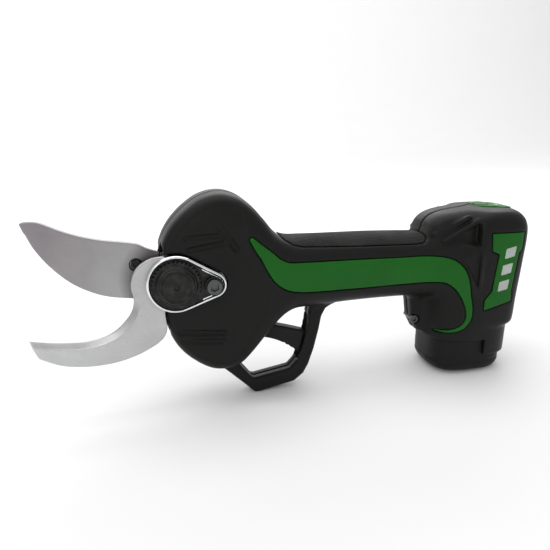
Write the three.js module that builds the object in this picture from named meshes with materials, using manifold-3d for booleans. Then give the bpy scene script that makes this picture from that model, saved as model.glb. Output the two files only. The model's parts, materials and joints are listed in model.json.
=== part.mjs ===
// Battery electric pruner: a scene graph of named meshes, one per physical piece.
// Millimetres. Inside the tool group X runs along the handle from the blades (-) to the battery (+),
// -Y is the side that carries the pivot nut, +Z is up, and the origin is the blade pivot.
// The tool group leans back a little, so that the guard's toe and the battery's heel stand on z = 0.
import * as THREE from 'three';
import { mergeVertices } from 'three/addons/utils/BufferGeometryUtils.js';
import Module from 'manifold-3d';

const wasm = await Module();
wasm.setup();

// ---------- driving dimensions (mm) ----------
const GAP = 0.3; // clearance between touching pieces
const WALL = 2.4; // shell wall thickness
const INLAY = 1.4; // thickness of the stripes and the grip pad
const BADGE = 0.7; // thickness of a badge

const HEAD_HALF_WIDTH = 18;
const HANDLE_HALF_WIDTH = 17;
const HANDLE_END_X = 164; // the handle ends inside the pod
const GUARD_HALF_WIDTH = 5.5;
const WEB_HALF_WIDTH = 7; // the tab under the handle, in front of the battery

const PLATE_Y = -20.6; // outer face of the cover plate
const PLATE_THICKNESS = 2.8;
const BLADE_THICKNESS = 3.2;
const FIXED_Y = PLATE_Y + PLATE_THICKNESS + GAP; // near face of the fixed blade
const MOVING_Y = FIXED_Y + BLADE_THICKNESS + GAP; // near face of the moving blade
const SECTOR_Y = MOVING_Y + BLADE_THICKNESS + GAP; // near face of the sector gear
const PIVOT_RADIUS = 5; // pivot bolt shank
const EYE_RADIUS = 14.5; // round end of the cover plate and of the blades
const LOCK = { x: 18.3, z: -1.5, radius: 6.6 }; // lock screw and the plate's small end

const BEVEL_MODULE = 1; // bevel pair at its outer end
const SECTOR_TEETH = 56; // teeth on the full circle
const PINION_TEETH = 14;
const BEVEL_FACE = 7; // face width of the bevel teeth
const SUN_TEETH = 12;
const PLANET_TEETH = 18;
const RING_TEETH = 48;
const PLANETARY_MODULE = 0.48;
const GEARBOX = { x0: 39, x1: 52, radius: 13.8 };
const MOTOR = { x0: 53.3, x1: 97, radius: 13.2, bore: 9.6 };

const TRIGGER_PIN = { x: 41.5, z: -32, radius: 1.5, reach: 9.1 };
const TRIGGER_HALF_WIDTH = 3.5;

const BATTERY = { x: 167.5, halfLength: 22.4, halfWidth: 20.6, power: 3.2, bottom: -64, rim: -44, top: 7 };
const SOCKET_CLEARANCE = 0.4;
const SOCKET_TOP = 8.5; // ceiling of the battery socket
const SOCKET_CEILING = 2.5; // its thickness
const HANDLE_CAVITY_END = 139.5;
const HOUSING_SIDES = 18; // facets round the housing
const SKIRT_BOTTOM = -53.5; // the pod's rear skirt reaches lower than its front rim
const SKIRT_X = 172;
const CELL = { radius: 9, height: 65, offset: 9.1, bottom: -62.1 };

const GUARD_TOE = new THREE.Vector2(41.9, -70.9); // lowest point of the guard
const BATTERY_HEEL = new THREE.Vector2(BATTERY.x + BATTERY.halfLength - 2, BATTERY.bottom);

// ---------- colours ----------
const COLOURS = {
  shell: { color: 0x1c1c1b, roughness: 0.55, metalness: 0 },
  grip: { color: 0x2b2b2a, roughness: 0.85, metalness: 0 },
  green: { color: 0x2a7a2c, roughness: 0.5, metalness: 0 },
  blade: { color: 0xa9a8a6, roughness: 0.3, metalness: 1 },
  chrome: { color: 0xd0d2d4, roughness: 0.12, metalness: 1 },
  black: { color: 0x161616, roughness: 0.4, metalness: 0.8 },
  steel: { color: 0x8c8e90, roughness: 0.35, metalness: 1 },
  brass: { color: 0xb08d4a, roughness: 0.35, metalness: 1 },
  alloy: { color: 0x9a9c9e, roughness: 0.5, metalness: 0.9 },
  board: { color: 0x17502c, roughness: 0.6, metalness: 0 },
  cell: { color: 0x2f6f9f, roughness: 0.5, metalness: 0 },
  lens: { color: 0xc8f5d0, roughness: 0.2, metalness: 0 },
};

// ---------- solids ----------
function solidOf(geometry) {
  const bare = geometry.index ? geometry.toNonIndexed() : geometry.clone();
  for (const name of Object.keys(bare.attributes)) {
    if (name !== 'position') bare.deleteAttribute(name);
  }
  const merged = mergeVertices(bare, 1e-4);
  return new wasm.Manifold(new wasm.Mesh({
    numProp: 3,
    vertProperties: new Float32Array(merged.attributes.position.array),
    triVerts: new Uint32Array(merged.index.array),
  }));
}

function geometryOf(solid) {
  const mesh = solid.getMesh();
  const stride = mesh.numProp;
  const count = mesh.vertProperties.length / stride;
  const positions = new Float32Array(count * 3);
  for (let i = 0; i < count; i++) {
    for (let k = 0; k < 3; k++) positions[3 * i + k] = mesh.vertProperties[stride * i + k];
  }
  const geometry = new THREE.BufferGeometry();
  geometry.setAttribute('position', new THREE.BufferAttribute(positions, 3));
  geometry.setIndex(new THREE.BufferAttribute(new Uint32Array(mesh.triVerts), 1));
  geometry.computeVertexNormals();
  return geometry;
}

const join = (first, ...others) => others.reduce((sum, solid) => sum.add(solid), first);
const cut = (body, ...tools) => tools.reduce((rest, tool) => rest.subtract(tool), body);

// ---------- basic shapes ----------
function box(x0, x1, y0, y1, z0, z1) {
  const geometry = new THREE.BoxGeometry(x1 - x0, y1 - y0, z1 - z0);
  return solidOf(geometry.translate((x0 + x1) / 2, (y0 + y1) / 2, (z0 + z1) / 2));
}

function discY(radius, y0, y1, x = 0, z = 0, sides = 28, farRadius = radius) {
  const geometry = new THREE.CylinderGeometry(farRadius, radius, y1 - y0, sides);
  return solidOf(geometry.translate(x, (y0 + y1) / 2, z));
}

function discX(radius, x0, x1, y = 0, z = 0, sides = 28, rearRadius = radius) {
  const geometry = new THREE.CylinderGeometry(radius, rearRadius, x1 - x0, sides);
  return solidOf(geometry.rotateZ(Math.PI / 2).translate((x0 + x1) / 2, y, z));
}

function discZ(radius, z0, z1, x = 0, y = 0, sides = 28) {
  const geometry = new THREE.CylinderGeometry(radius, radius, z1 - z0, sides);
  return solidOf(geometry.rotateX(Math.PI / 2).translate(x, y, (z0 + z1) / 2));
}

// A shape drawn in X and Z, with thickness from y0 to y1.
function sidePlate(shape, y0, y1, bevel = 0, curveSegments = 10) {
  const geometry = new THREE.ExtrudeGeometry(shape, {
    depth: y1 - y0 - 2 * bevel,
    bevelEnabled: bevel > 0,
    bevelThickness: bevel,
    bevelSize: bevel,
    bevelOffset: -bevel,
    bevelSegments: 1,
    curveSegments,
  });
  return solidOf(geometry.rotateX(Math.PI / 2).translate(0, y1 - bevel, 0));
}

const shapeOf = (pairs) => new THREE.Shape(pairs.map(([x, z]) => new THREE.Vector2(x, z)));

function smooth(pairs, divisions) {
  const curve = new THREE.SplineCurve(pairs.map(([x, z]) => new THREE.Vector2(x, z)));
  return curve.getPoints(divisions).map((point) => [point.x, point.y]);
}

// The outline moved outwards by a distance.
function grown(pairs, distance) {
  const points = pairs.map(([x, z]) => new THREE.Vector2(x, z));
  const turn = Math.sign(THREE.ShapeUtils.area(points));
  return points.map((point, i) => {
    const before = points[(i + points.length - 1) % points.length];
    const after = points[(i + 1) % points.length];
    const into = point.clone().sub(before).normalize();
    const out = after.clone().sub(point).normalize();
    const normal = new THREE.Vector2(into.y + out.y, -into.x - out.x).normalize();
    const reach = Math.min(1 / Math.max(normal.dot(new THREE.Vector2(into.y, -into.x)), 0.3), 2);
    return [point.x + turn * distance * reach * normal.x, point.y + turn * distance * reach * normal.y];
  });
}

// Smooth height line through a few points, as a function of x.
function heightLine(pairs) {
  const slope = pairs.map((_, i) => {
    const a = pairs[Math.max(i - 1, 0)];
    const b = pairs[Math.min(i + 1, pairs.length - 1)];
    return (b[1] - a[1]) / (b[0] - a[0]);
  });
  return (x) => {
    let i = 0;
    while (i < pairs.length - 2 && x > pairs[i + 1][0]) i++;
    const [x0, z0] = pairs[i];
    const [x1, z1] = pairs[i + 1];
    const span = x1 - x0;
    const t = THREE.MathUtils.clamp((x - x0) / span, 0, 1);
    const rise = z0 * (1 + 2 * t) * (1 - t) ** 2 + z1 * t * t * (3 - 2 * t);
    return rise + span * (slope[i] * t * (1 - t) ** 2 - slope[i + 1] * t * t * (1 - t));
  };
}

function superellipse(halfA, halfB, power, sides) {
  const points = [];
  for (let k = 0; k < sides; k++) {
    const angle = (2 * Math.PI * k) / sides;
    const c = Math.cos(angle);
    const s = Math.sin(angle);
    points.push([
      halfA * Math.sign(c) * Math.abs(c) ** (2 / power),
      halfB * Math.sign(s) * Math.abs(s) ** (2 / power),
    ]);
  }
  return points;
}

// Closed body through rings of points that all have the same count.
function loft(rings) {
  const sides = rings[0].length;
  const positions = [];
  for (const ring of rings) {
    for (const point of ring) positions.push(...point);
  }
  for (const ring of [rings[0], rings[rings.length - 1]]) {
    for (let k = 0; k < 3; k++) positions.push(ring.reduce((sum, p) => sum + p[k], 0) / sides);
  }
  const index = [];
  for (let r = 0; r + 1 < rings.length; r++) {
    for (let k = 0; k < sides; k++) {
      const a = r * sides + k;
      const b = r * sides + ((k + 1) % sides);
      index.push(a, b, b + sides, a, b + sides, a + sides);
    }
  }
  const startHub = rings.length * sides;
  const last = (rings.length - 1) * sides;
  for (let k = 0; k < sides; k++) {
    const next = (k + 1) % sides;
    index.push(startHub, next, k, startHub + 1, last + k, last + next);
  }
  const geometry = new THREE.BufferGeometry();
  geometry.setAttribute('position', new THREE.Float32BufferAttribute(positions, 3));
  geometry.setIndex(index);
  return solidOf(geometry);
}

// Stations along X: [x, zBottom, zTop, halfWidth, power].
function loftAlongX(stations, sides) {
  return loft(stations.map(([x, z0, z1, halfWidth, power]) =>
    superellipse(halfWidth, (z1 - z0) / 2, power, sides).map(([y, z]) => [x, y, z + (z0 + z1) / 2])));
}

// Stations along Z: [z, centreX, halfLength, halfWidth, power].
function loftAlongZ(stations, sides) {
  return loft(stations.map(([z, centreX, halfLength, halfWidth, power]) =>
    superellipse(halfLength, halfWidth, power, sides).map(([x, y]) => [x + centreX, y, z])));
}

// ---------- housing form; inset shrinks it evenly for cavities and inlays ----------
const TOP_LINE = heightLine([
  [-8.5, 11.5], [-6.8, 17.8], [-4, 23.8], [0.3, 29.8], [6.5, 35.8], [14, 40.7], [23.4, 42.8],
  [32, 41], [39.5, 36], [46, 28.8], [52, 21.6], [58.5, 18.1], [68, 17.7], [110, 17.5], [HANDLE_END_X, 15],
]);
const BOTTOM_LINE = heightLine([
  [-8.5, -12], [-6.6, -20], [-4.2, -28.5], [0.7, -37.5], [8.5, -45.3], [17.5, -50.6], [26, -51.4],
  [33, -49], [39, -43.4], [47, -34.2], [55, -26], [62, -22.3], [72, -21.5], [112, -19.8], [HANDLE_END_X, -19.6],
]);
const WIDTH_LINE = heightLine([
  [-8.5, 13.5], [-4, 16.6], [4, HEAD_HALF_WIDTH], [36, HEAD_HALF_WIDTH],
  [66, HANDLE_HALF_WIDTH], [128, HANDLE_HALF_WIDTH - 0.4], [140, 18.3], [150, 21.6], [157, 23.8],
  [HANDLE_END_X, 24],
]);
const POWER_LINE = heightLine([[-8.5, 5], [36, 4.6], [66, 2.7], [130, 2.6], [150, 3.2], [HANDLE_END_X, 3.4]]);
const HEAD_STATIONS = [-8.5, -7.2, -5, -2, 2.5, 8, 15, 23.4, 31, 38, 44, 50, 57, 66];
const HANDLE_STATIONS = [90, 114, 130, 143, 150, 157, HANDLE_END_X];

function handleForm(inset) {
  const stations = [...HEAD_STATIONS, ...HANDLE_STATIONS].map((x) => [
    x, BOTTOM_LINE(x) + inset, TOP_LINE(x) - inset, WIDTH_LINE(x) - inset, POWER_LINE(x),
  ]);
  stations[0][0] += inset;
  return loftAlongX(stations, HOUSING_SIDES);
}

function podForm(inset) {
  const rear = [
    [-36, 174.8, 17.8, 22.8, 3.4], [-33, 175, 18, 23.6, 3.8], [-20, 175.1, 18.2, 24, 4],
    [0, 175.8, 19, 24.4, 4], [16, 176.4, 19.4, 24.6, 4], [22.5, 176.4, 18.9, 24, 3.8],
    [26.8, 176.2, 17, 22, 3.4], [29.4, 175.6, 13.4, 18, 3], [30.4, 175, 8, 12, 2.6],
  ];
  const socket = [
    [SKIRT_BOTTOM - 1, BATTERY.x, 24.5, 22.8, 3], [BATTERY.rim, BATTERY.x, 24.9, 23.2, 3],
    [-18, BATTERY.x, 25.1, 23.4, 3], [-9, BATTERY.x + 1.5, 23.4, 22, 3], [-3, BATTERY.x + 4, 19, 18, 3],
  ];
  const nose = [
    [138, 6, 18, 12.4, 3], [139.6, 4, 22.4, 13.8, 3.4], [142.5, 3, 25.4, 15, 3.7], [147.5, 2, 27.6, 16, 3.9],
    [155, 1, 29, 17, 4], [166, 0, 30.2, 18.4, 4],
  ];
  const shrinkZ = ([z, x, a, b, p], i) => [i === 0 ? z : z - inset, x, a - inset, b - inset, p];
  const shrinkX = ([x, z0, z1, w, p]) => [x + inset, z0 + inset, z1 - inset, w - inset, p];
  const web = shapeOf([[133, -15], [133, -24.5], [134.4, -34.6], [138, -41.4], [148, -43.6], [148, -15]]);
  return join(
    loftAlongZ(rear.map(shrinkZ), HOUSING_SIDES),
    loftAlongZ(socket.map(shrinkZ), HOUSING_SIDES),
    loftAlongX(nose.map(shrinkX), HOUSING_SIDES),
    ...(inset > 0 ? [] : [sidePlate(web, -WEB_HALF_WIDTH, WEB_HALF_WIDTH, 1.5)]),
  );
}

const GUARD_OUTLINE = [
  [22, -47], [21.8, -52.2], [28.3, -58.2], [35.5, -65], [40.6, -70.1],
  [GUARD_TOE.x, GUARD_TOE.y], [44.5, -70.7],
  [64.3, -66.4], [69.6, -62.2], [72.6, -56.7], [75.6, -47.7], [78.4, -36], [79.8, -28.3], [82, -24], [86, -21],
  [86, -15], [66, -15], [72.2, -21], [72.4, -23], [70.3, -35.8], [66.4, -50.2], [64.9, -54.6], [61.6, -58.2],
  [41.7, -61.9], [40, -61.4], [31.8, -51], [32, -45],
];

// ---------- stripe, badge and pad outlines ----------
// Band stations: [x, z, halfWidth] from the head, along the handle and round the pod.
const STRIPE_BAND = [
  [38.2, 20, 1.2], [42.3, 15, 2.4], [46.4, 10.4, 3.4], [51, 4.6, 4.9], [57, 0, 6.8], [66, -1.7, 8],
  [90, -2, 8], [120, -1.8, 7.6], [142, -1.6, 7.2], [149, -3.6, 6.3], [153.8, -9, 4.4], [157.3, -16.4, 2.8],
  [159.8, -24.5, 2], [159.8, -30.8, 1.6], [156.6, -35.4, 1.3], [151, -37.9, 0.9], [146.5, -38.6, 0.6],
];

function stripeShape(grow) {
  const curve = new THREE.CatmullRomCurve3(STRIPE_BAND.map((station) => new THREE.Vector3(...station)));
  const points = curve.getPoints(20);
  const upper = [];
  const lower = [];
  points.forEach((point, i) => {
    const before = points[Math.max(i - 1, 0)];
    const after = points[Math.min(i + 1, points.length - 1)];
    const along = new THREE.Vector2(after.x - before.x, after.y - before.y).normalize();
    const half = Math.max(point.z, 0.4) + grow;
    upper.push([point.x - along.y * half, point.y + along.x * half]);
    lower.push([point.x + along.y * half, point.y - along.x * half]);
  });
  return shapeOf([...upper, ...lower.reverse()]);
}

// The badge is a slanted bar with a wider head and foot.
const BADGE_OUTLINE = [
  [168.6, 18.4], [188.6, 18.4], [188, 8.4], [186.2, 7], [184.4, -14], [185, -21], [168, -25.4], [168, -19.4],
  [172, -14.5], [174, 6.6], [169.6, 8.6],
];
const PAD_OUTLINE = [
  [50, 32], [51.2, 23.6], [53.6, 20.6], [57, 17.2], [61, 15], [66, 13.8], [90, 12.8], [130, 12.1],
  [134.5, 12.6], [137, 14.6], [137.4, 17], [137.4, 32],
];

// ---------- openings in the housing ----------
function tearDrop(grow) {
  const big = EYE_RADIUS + grow;
  const small = LOCK.radius + grow;
  const distance = Math.hypot(LOCK.x, LOCK.z);
  const lean = Math.atan2(LOCK.z, LOCK.x);
  const touch = Math.acos((big - small) / distance);
  const shape = new THREE.Shape();
  shape.absarc(0, 0, big, lean + touch, lean + 2 * Math.PI - touch);
  shape.absarc(LOCK.x, LOCK.z, small, lean - touch, lean + touch);
  return shape;
}

const HOOK_OUTER = [
  [-6, -16], [-5.6, -24.5], [-9.6, -30.4], [-19.7, -35.9], [-29.7, -39], [-39.5, -40.2], [-49.5, -39.9],
  [-58.5, -38], [-67.2, -33.8],
];
const HOOK_INNER = [
  [-71, -24.8], [-61.8, -26.4], [-52.6, -27.3], [-43.2, -27.3], [-33.5, -24.7], [-26.6, -19.4], [-22, -13],
  [-20.9, -6.5], [-21.8, -2],
];
const EYE_FRONT = [[-21.8, 1], [-20.9, 4.9], [-18.9, 8.6], [-15.6, 11.4], [-11, 13.4], [-5, 13.8]];

const HOOK_OUTLINE = [...smooth(HOOK_OUTER, 16), ...smooth(HOOK_INNER, 18), ...smooth(EYE_FRONT, 8)];

// ---------- gears ----------
// Tooth shape as fractions of the pitch, slim enough to run with play.
const TOOTH = { root: 0.5, tip: 0.24, addendum: 0.8, dedendum: 1.1 };

function gearShape(teeth, module, phase = 0, internal = false) {
  const pitchRadius = (teeth * module) / 2;
  const tipRadius = pitchRadius + (internal ? -1 : 1) * TOOTH.addendum * module;
  const rootRadius = pitchRadius - (internal ? -1 : 1) * TOOTH.dedendum * module;
  const pitch = (2 * Math.PI) / teeth;
  const points = [];
  for (let k = 0; k < teeth; k++) {
    const centre = phase + k * pitch;
    for (const [radius, side] of [
      [rootRadius, -TOOTH.root / 2], [tipRadius, -TOOTH.tip / 2], [tipRadius, TOOTH.tip / 2],
      [rootRadius, TOOTH.root / 2],
    ]) {
      const angle = centre + side * pitch;
      points.push([radius * Math.cos(angle), radius * Math.sin(angle)]);
    }
  }
  return points;
}

// A gear drawn in Y and Z with its axis on X.
function gearAlongX(points, x0, x1, y = 0, z = 0, shrink = 1) {
  const shape = shapeOf(points);
  const geometry = new THREE.ExtrudeGeometry(shape, { depth: x1 - x0, bevelEnabled: false });
  const position = geometry.attributes.position;
  for (let i = 0; i < position.count; i++) {
    const scale = THREE.MathUtils.lerp(shrink, 1, position.getZ(i) / (x1 - x0));
    position.setXY(i, position.getX(i) * scale, position.getY(i) * scale);
  }
  geometry.rotateX(Math.PI / 2).rotateZ(Math.PI / 2);
  return solidOf(geometry.translate(x0, y, z));
}

// ---------- scene graph ----------
const tool = new THREE.Group();

const SLIVER = 0.08; // edges this small are left out of every piece

function add(name, look, piece) {
  const solid = piece.simplify(SLIVER);
  const mesh = new THREE.Mesh(geometryOf(solid), new THREE.MeshStandardMaterial(COLOURS[look]));
  mesh.name = name;
  tool.add(mesh);
  return mesh;
}

// ---------- housing shells ----------
const FAR = 60; // beyond every piece
const halfSpace = {
  left: box(-FAR, 4 * FAR, -FAR, -GAP / 2, -2 * FAR, FAR),
  right: box(-FAR, 4 * FAR, GAP / 2, FAR, -2 * FAR, FAR),
};
const form = (inset) => join(handleForm(inset), podForm(inset));
const outerForm = form(0);
const inlayFloor = form(INLAY);

function fan(radius, fromDegrees, toDegrees, y0, y1) {
  const shape = new THREE.Shape();
  shape.moveTo(0, 0);
  const from = THREE.MathUtils.degToRad(fromDegrees);
  shape.lineTo(radius * Math.cos(from), radius * Math.sin(from));
  shape.absarc(0, 0, radius, from, THREE.MathUtils.degToRad(toDegrees));
  return sidePlate(shape, y0, y1, 0, 16);
}

const socketHollow = loftAlongZ([
  [-70, BATTERY.x, BATTERY.halfLength + SOCKET_CLEARANCE, BATTERY.halfWidth + SOCKET_CLEARANCE, BATTERY.power],
  [SOCKET_TOP, BATTERY.x, BATTERY.halfLength + SOCKET_CLEARANCE, BATTERY.halfWidth + SOCKET_CLEARANCE,
    BATTERY.power],
], 28);
const TERMINAL = { x0: 159, x1: 176, halfWidth: 8.5, z0: 8.3, z1: 17, slots: [-5, 0, 5] };
const BLADE_SLOT = { y0: MOVING_Y - 0.6, y1: SECTOR_Y + 3.8, from: 108, to: 262 };
const HUB_ROOM = EYE_RADIUS + 1.9; // radius of the room round the turning hub

const hollow = join(
  handleForm(WALL).intersect(box(-FAR, HANDLE_CAVITY_END, -FAR, FAR, -2 * FAR, FAR)),
  podForm(WALL).intersect(box(HANDLE_CAVITY_END, 4 * FAR, -FAR, FAR, SOCKET_TOP + SOCKET_CEILING, FAR)),
  socketHollow,
  box(TERMINAL.x0 - GAP, TERMINAL.x1 + GAP, -TERMINAL.halfWidth - GAP, TERMINAL.halfWidth + GAP, 5, 15),
);

const BOLT_HEAD = { radius: 8.4, y0: 12.9, y1: 15.2 };
const SCREWS = [
  { x: 20, z: 35, head: 14.6 }, { x: 22, z: -42, head: 15 }, { x: 118, z: -14, head: 13 },
  { x: 150, z: 19.5, head: 12.4 }, { x: 186, z: 14, head: 22 }, { x: 135.6, z: -34.2, head: -6.4 },
];
const SCREW = { headRadius: 2.8, headHeight: 1.8, radius: 1.4, reach: 7.5, key: 1.3 };
const BOSS_RADIUS = 3.8;
const sideOf = (screw) => Math.sign(screw.head);

function screwRoom(screw) {
  const side = sideOf(screw);
  const seat = screw.head - side * (SCREW.headHeight + GAP);
  const span = (a, b) => [Math.min(a, b), Math.max(a, b)];
  return join(
    discY(SCREW.headRadius + GAP, ...span(seat, side * FAR), screw.x, screw.z, 12),
    discY(SCREW.radius + GAP, ...span(seat + side, -side * (SCREW.reach + 1)), screw.x, screw.z, 10),
  );
}

const TRIGGER_ROOM = TRIGGER_HALF_WIDTH + 0.7;
const triggerSlot = sidePlate(shapeOf([
  [37, -39.5], [45, -43], [60, -38], [61, -23.4], [50, -25.5], [37, -26],
]), -TRIGGER_ROOM, TRIGGER_ROOM);
const tipPocket = sidePlate(shapeOf([
  [60, -27], [73.2, -27], [73.2, -33], [70.6, -50.5], [68.4, -53.4], [60, -53.4],
]), -TRIGGER_ROOM, TRIGGER_ROOM);

const guard = cut(
  sidePlate(shapeOf(GUARD_OUTLINE), -GUARD_HALF_WIDTH, GUARD_HALF_WIDTH, 1.8),
  handleForm(WALL),
  tipPocket,
);
const PIN_BOSS = { radius: 4, reach: 16.6, springSide: 8 }; // the coil spring sits beside the lever
const pinBosses = cut(
  join(
    discY(PIN_BOSS.radius, -PIN_BOSS.reach, -TRIGGER_HALF_WIDTH - GAP, TRIGGER_PIN.x, TRIGGER_PIN.z, 20),
    discY(PIN_BOSS.radius, PIN_BOSS.springSide, PIN_BOSS.reach, TRIGGER_PIN.x, TRIGGER_PIN.z, 20),
  ).intersect(handleForm(WALL / 2)),
  discY(TRIGGER_PIN.radius + GAP, -TRIGGER_PIN.reach - GAP, TRIGGER_PIN.reach + GAP,
    TRIGGER_PIN.x, TRIGGER_PIN.z, 16),
);
const bosses = join(...SCREWS.slice(0, 5).map(({ x, z, head }) => discY(BOSS_RADIUS, -head, head, x, z, 20)));
const stripePrism = (grow, y0, y1) => sidePlate(stripeShape(grow), y0, y1);
const badgePrism = (grow, y0, y1) => sidePlate(shapeOf(grown(BADGE_OUTLINE, grow)), y0, y1);
const padPrism = (grow) => sidePlate(shapeOf(grown(PAD_OUTLINE, grow)), -FAR, FAR);
const badgeFloor = podForm(BADGE);

const PANEL = { x: 181, halfLength: 12.2, halfWidth: 9.8, power: 2.2 };
const BUTTON = { x: 175, radius: 4, stem: 2, z0: 24, z1: 27, z2: 31 };
const LIGHT = { x: 184.5, radius: 1.6, z0: 26, z1: 30.4 };
function panelPrism(grow) {
  const outline = superellipse(PANEL.halfLength + grow, PANEL.halfWidth + grow, PANEL.power, 32);
  return loft([20, 40].map((z) => outline.map(([x, y]) => [x + PANEL.x, y, z])));
}

const panelHoles = join(
  discZ(BUTTON.radius + 0.4, 10, 40, BUTTON.x, 0, 24),
  discZ(LIGHT.radius + GAP, 10, 40, LIGHT.x, 0, 16),
);

const body = cut(
  join(cut(outerForm, hollow), guard, bosses, pinBosses),
  triggerSlot,
  fan(40, BLADE_SLOT.from, BLADE_SLOT.to, BLADE_SLOT.y0, BLADE_SLOT.y1),
  sidePlate(shapeOf(grown(HOOK_OUTLINE, 0.5)), PLATE_Y, MOVING_Y),
  sidePlate(tearDrop(0.5), PLATE_Y, MOVING_Y),
  discY(HUB_ROOM, MOVING_Y - 1, BOLT_HEAD.y0),
  discY(BOLT_HEAD.radius + GAP, BOLT_HEAD.y0 - 1, FAR),
  box(100, SKIRT_X, -FAR, FAR, -2 * FAR, BATTERY.rim),
  box(SKIRT_X - 1, 4 * FAR, -FAR, FAR, -2 * FAR, SKIRT_BOTTOM),
  ...SCREWS.map(screwRoom),
  cut(padPrism(GAP), handleForm(INLAY + GAP)).intersect(handleForm(-1)),
  cut(join(stripePrism(GAP, -FAR, 0), stripePrism(GAP, 0, FAR)), form(INLAY + GAP)),
  cut(join(badgePrism(GAP, -FAR, 0), badgePrism(GAP, 0, FAR)), podForm(BADGE + GAP)),
  cut(panelPrism(GAP), podForm(INLAY + GAP)),
  panelHoles,
);
add('left_shell', 'shell', body.intersect(halfSpace.left));
add('right_shell', 'shell', body.intersect(halfSpace.right));

const skin = cut(outerForm, inlayFloor);
add('left_stripe', 'green', skin.intersect(stripePrism(0, -FAR, -1)));
add('right_stripe', 'green', skin.intersect(stripePrism(0, 1, FAR)));
add('top_grip_pad', 'grip', cut(handleForm(0), handleForm(INLAY)).intersect(padPrism(0)));
add('left_badge', 'green', cut(podForm(0), badgeFloor).intersect(badgePrism(0, -FAR, -1)));
add('right_badge', 'green', cut(podForm(0), badgeFloor).intersect(badgePrism(0, 1, FAR)));
add('control_panel', 'green', cut(podForm(0), podForm(INLAY), panelHoles).intersect(panelPrism(0)));
add('status_light', 'lens', discZ(LIGHT.radius, LIGHT.z0, LIGHT.z1, LIGHT.x, 0, 16));
add('power_button', 'green', join(
  discZ(BUTTON.radius, BUTTON.z1, BUTTON.z2, BUTTON.x, 0, 24),
  discZ(BUTTON.stem, BUTTON.z0, BUTTON.z1 + 0.5, BUTTON.x, 0, 16),
));
add('panel_board', 'board', join(
  box(166, 190.5, -8, 8, 20, 21.6),
  box(BUTTON.x - 3, BUTTON.x + 3, -3, 3, 21.4, 22.8),
));

for (const [i, screw] of SCREWS.entries()) {
  const side = sideOf(screw);
  const ends = (a, b) => [Math.min(a, b), Math.max(a, b)];
  const under = screw.head - side * SCREW.headHeight;
  const piece = cut(
    join(
      discY(SCREW.headRadius, ...ends(screw.head, under), screw.x, screw.z, 18),
      discY(SCREW.radius, ...ends(under + side * 0.5, -side * SCREW.reach), screw.x, screw.z, 12),
    ),
    discY(SCREW.key, ...ends(screw.head + side, screw.head - side * 1.2), screw.x, screw.z, 6),
  );
  add(`shell_screw_${i + 1}`, 'black', piece);
}

// ---------- cutting head, from the nut inwards ----------
const NUT = {
  base: -20.9, flange: -22.6, shoulder: -24.6, face: -25.6, teeth: 20, module: 1.12,
  radius: 11, coneRadius: 10, capRadius: 9.2, dimple: 1.4,
};

// Turn a profile of [radius, y] about the pivot's axis, whichever way round it was written.
function turned(profile, sides = 28) {
  const points = profile.map(([radius, y]) => new THREE.Vector2(radius, y));
  if (THREE.ShapeUtils.area(points) < 0) points.reverse();
  return solidOf(new THREE.LatheGeometry(points, sides));
}

const nutTeeth = sidePlate(shapeOf(gearShape(NUT.teeth, NUT.module)), NUT.flange, NUT.base);
add('pivot_nut', 'black', cut(
  join(
    nutTeeth,
    turned([[0, NUT.base], [NUT.radius, NUT.base], [NUT.radius, NUT.flange], [NUT.coneRadius, NUT.shoulder],
      [NUT.capRadius, NUT.shoulder], [NUT.capRadius, NUT.face], [0, NUT.face]]),
  ),
  discY(PIVOT_RADIUS + GAP, NUT.shoulder + 0.8, -10),
  discY(NUT.dimple, NUT.face - 1, NUT.face + 0.9, 0, 0, 16),
));

const LOCK_SCREW = { headRadius: 3.2, radius: 1.8, face: -24.6, under: -22.4, key: 1.8 };
const LOCK_DISC = { face: -22.1, teeth: 12, module: 0.88 };
const lockHole = discY(LOCK_SCREW.radius + GAP, -30, FIXED_Y + 2.4, LOCK.x, LOCK.z, 16);
add('lock_disc', 'black', cut(
  sidePlate(shapeOf(gearShape(LOCK_DISC.teeth, LOCK_DISC.module).map(([x, z]) => [x + LOCK.x, z + LOCK.z])),
    LOCK_DISC.face, NUT.base),
  lockHole,
));
add('lock_screw', 'steel', cut(
  join(
    discY(LOCK_SCREW.headRadius, LOCK_SCREW.face, LOCK_SCREW.under, LOCK.x, LOCK.z, 24),
    discY(LOCK_SCREW.radius, LOCK_SCREW.under - 0.2, FIXED_Y + 2, LOCK.x, LOCK.z, 16),
  ),
  discY(LOCK_SCREW.key, LOCK_SCREW.face - 1, LOCK_SCREW.face + 1.4, LOCK.x, LOCK.z, 6),
));
add('cover_plate', 'chrome', cut(
  sidePlate(tearDrop(0), PLATE_Y, PLATE_Y + PLATE_THICKNESS, 0.7),
  discY(PIVOT_RADIUS + GAP, -30, 0),
  lockHole,
));
add('fixed_blade', 'blade', cut(
  join(
    sidePlate(shapeOf(HOOK_OUTLINE), FIXED_Y, FIXED_Y + BLADE_THICKNESS),
    sidePlate(tearDrop(-0.4), FIXED_Y, FIXED_Y + BLADE_THICKNESS),
  ),
  discY(PIVOT_RADIUS + GAP, -30, 0),
  lockHole,
));

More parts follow.
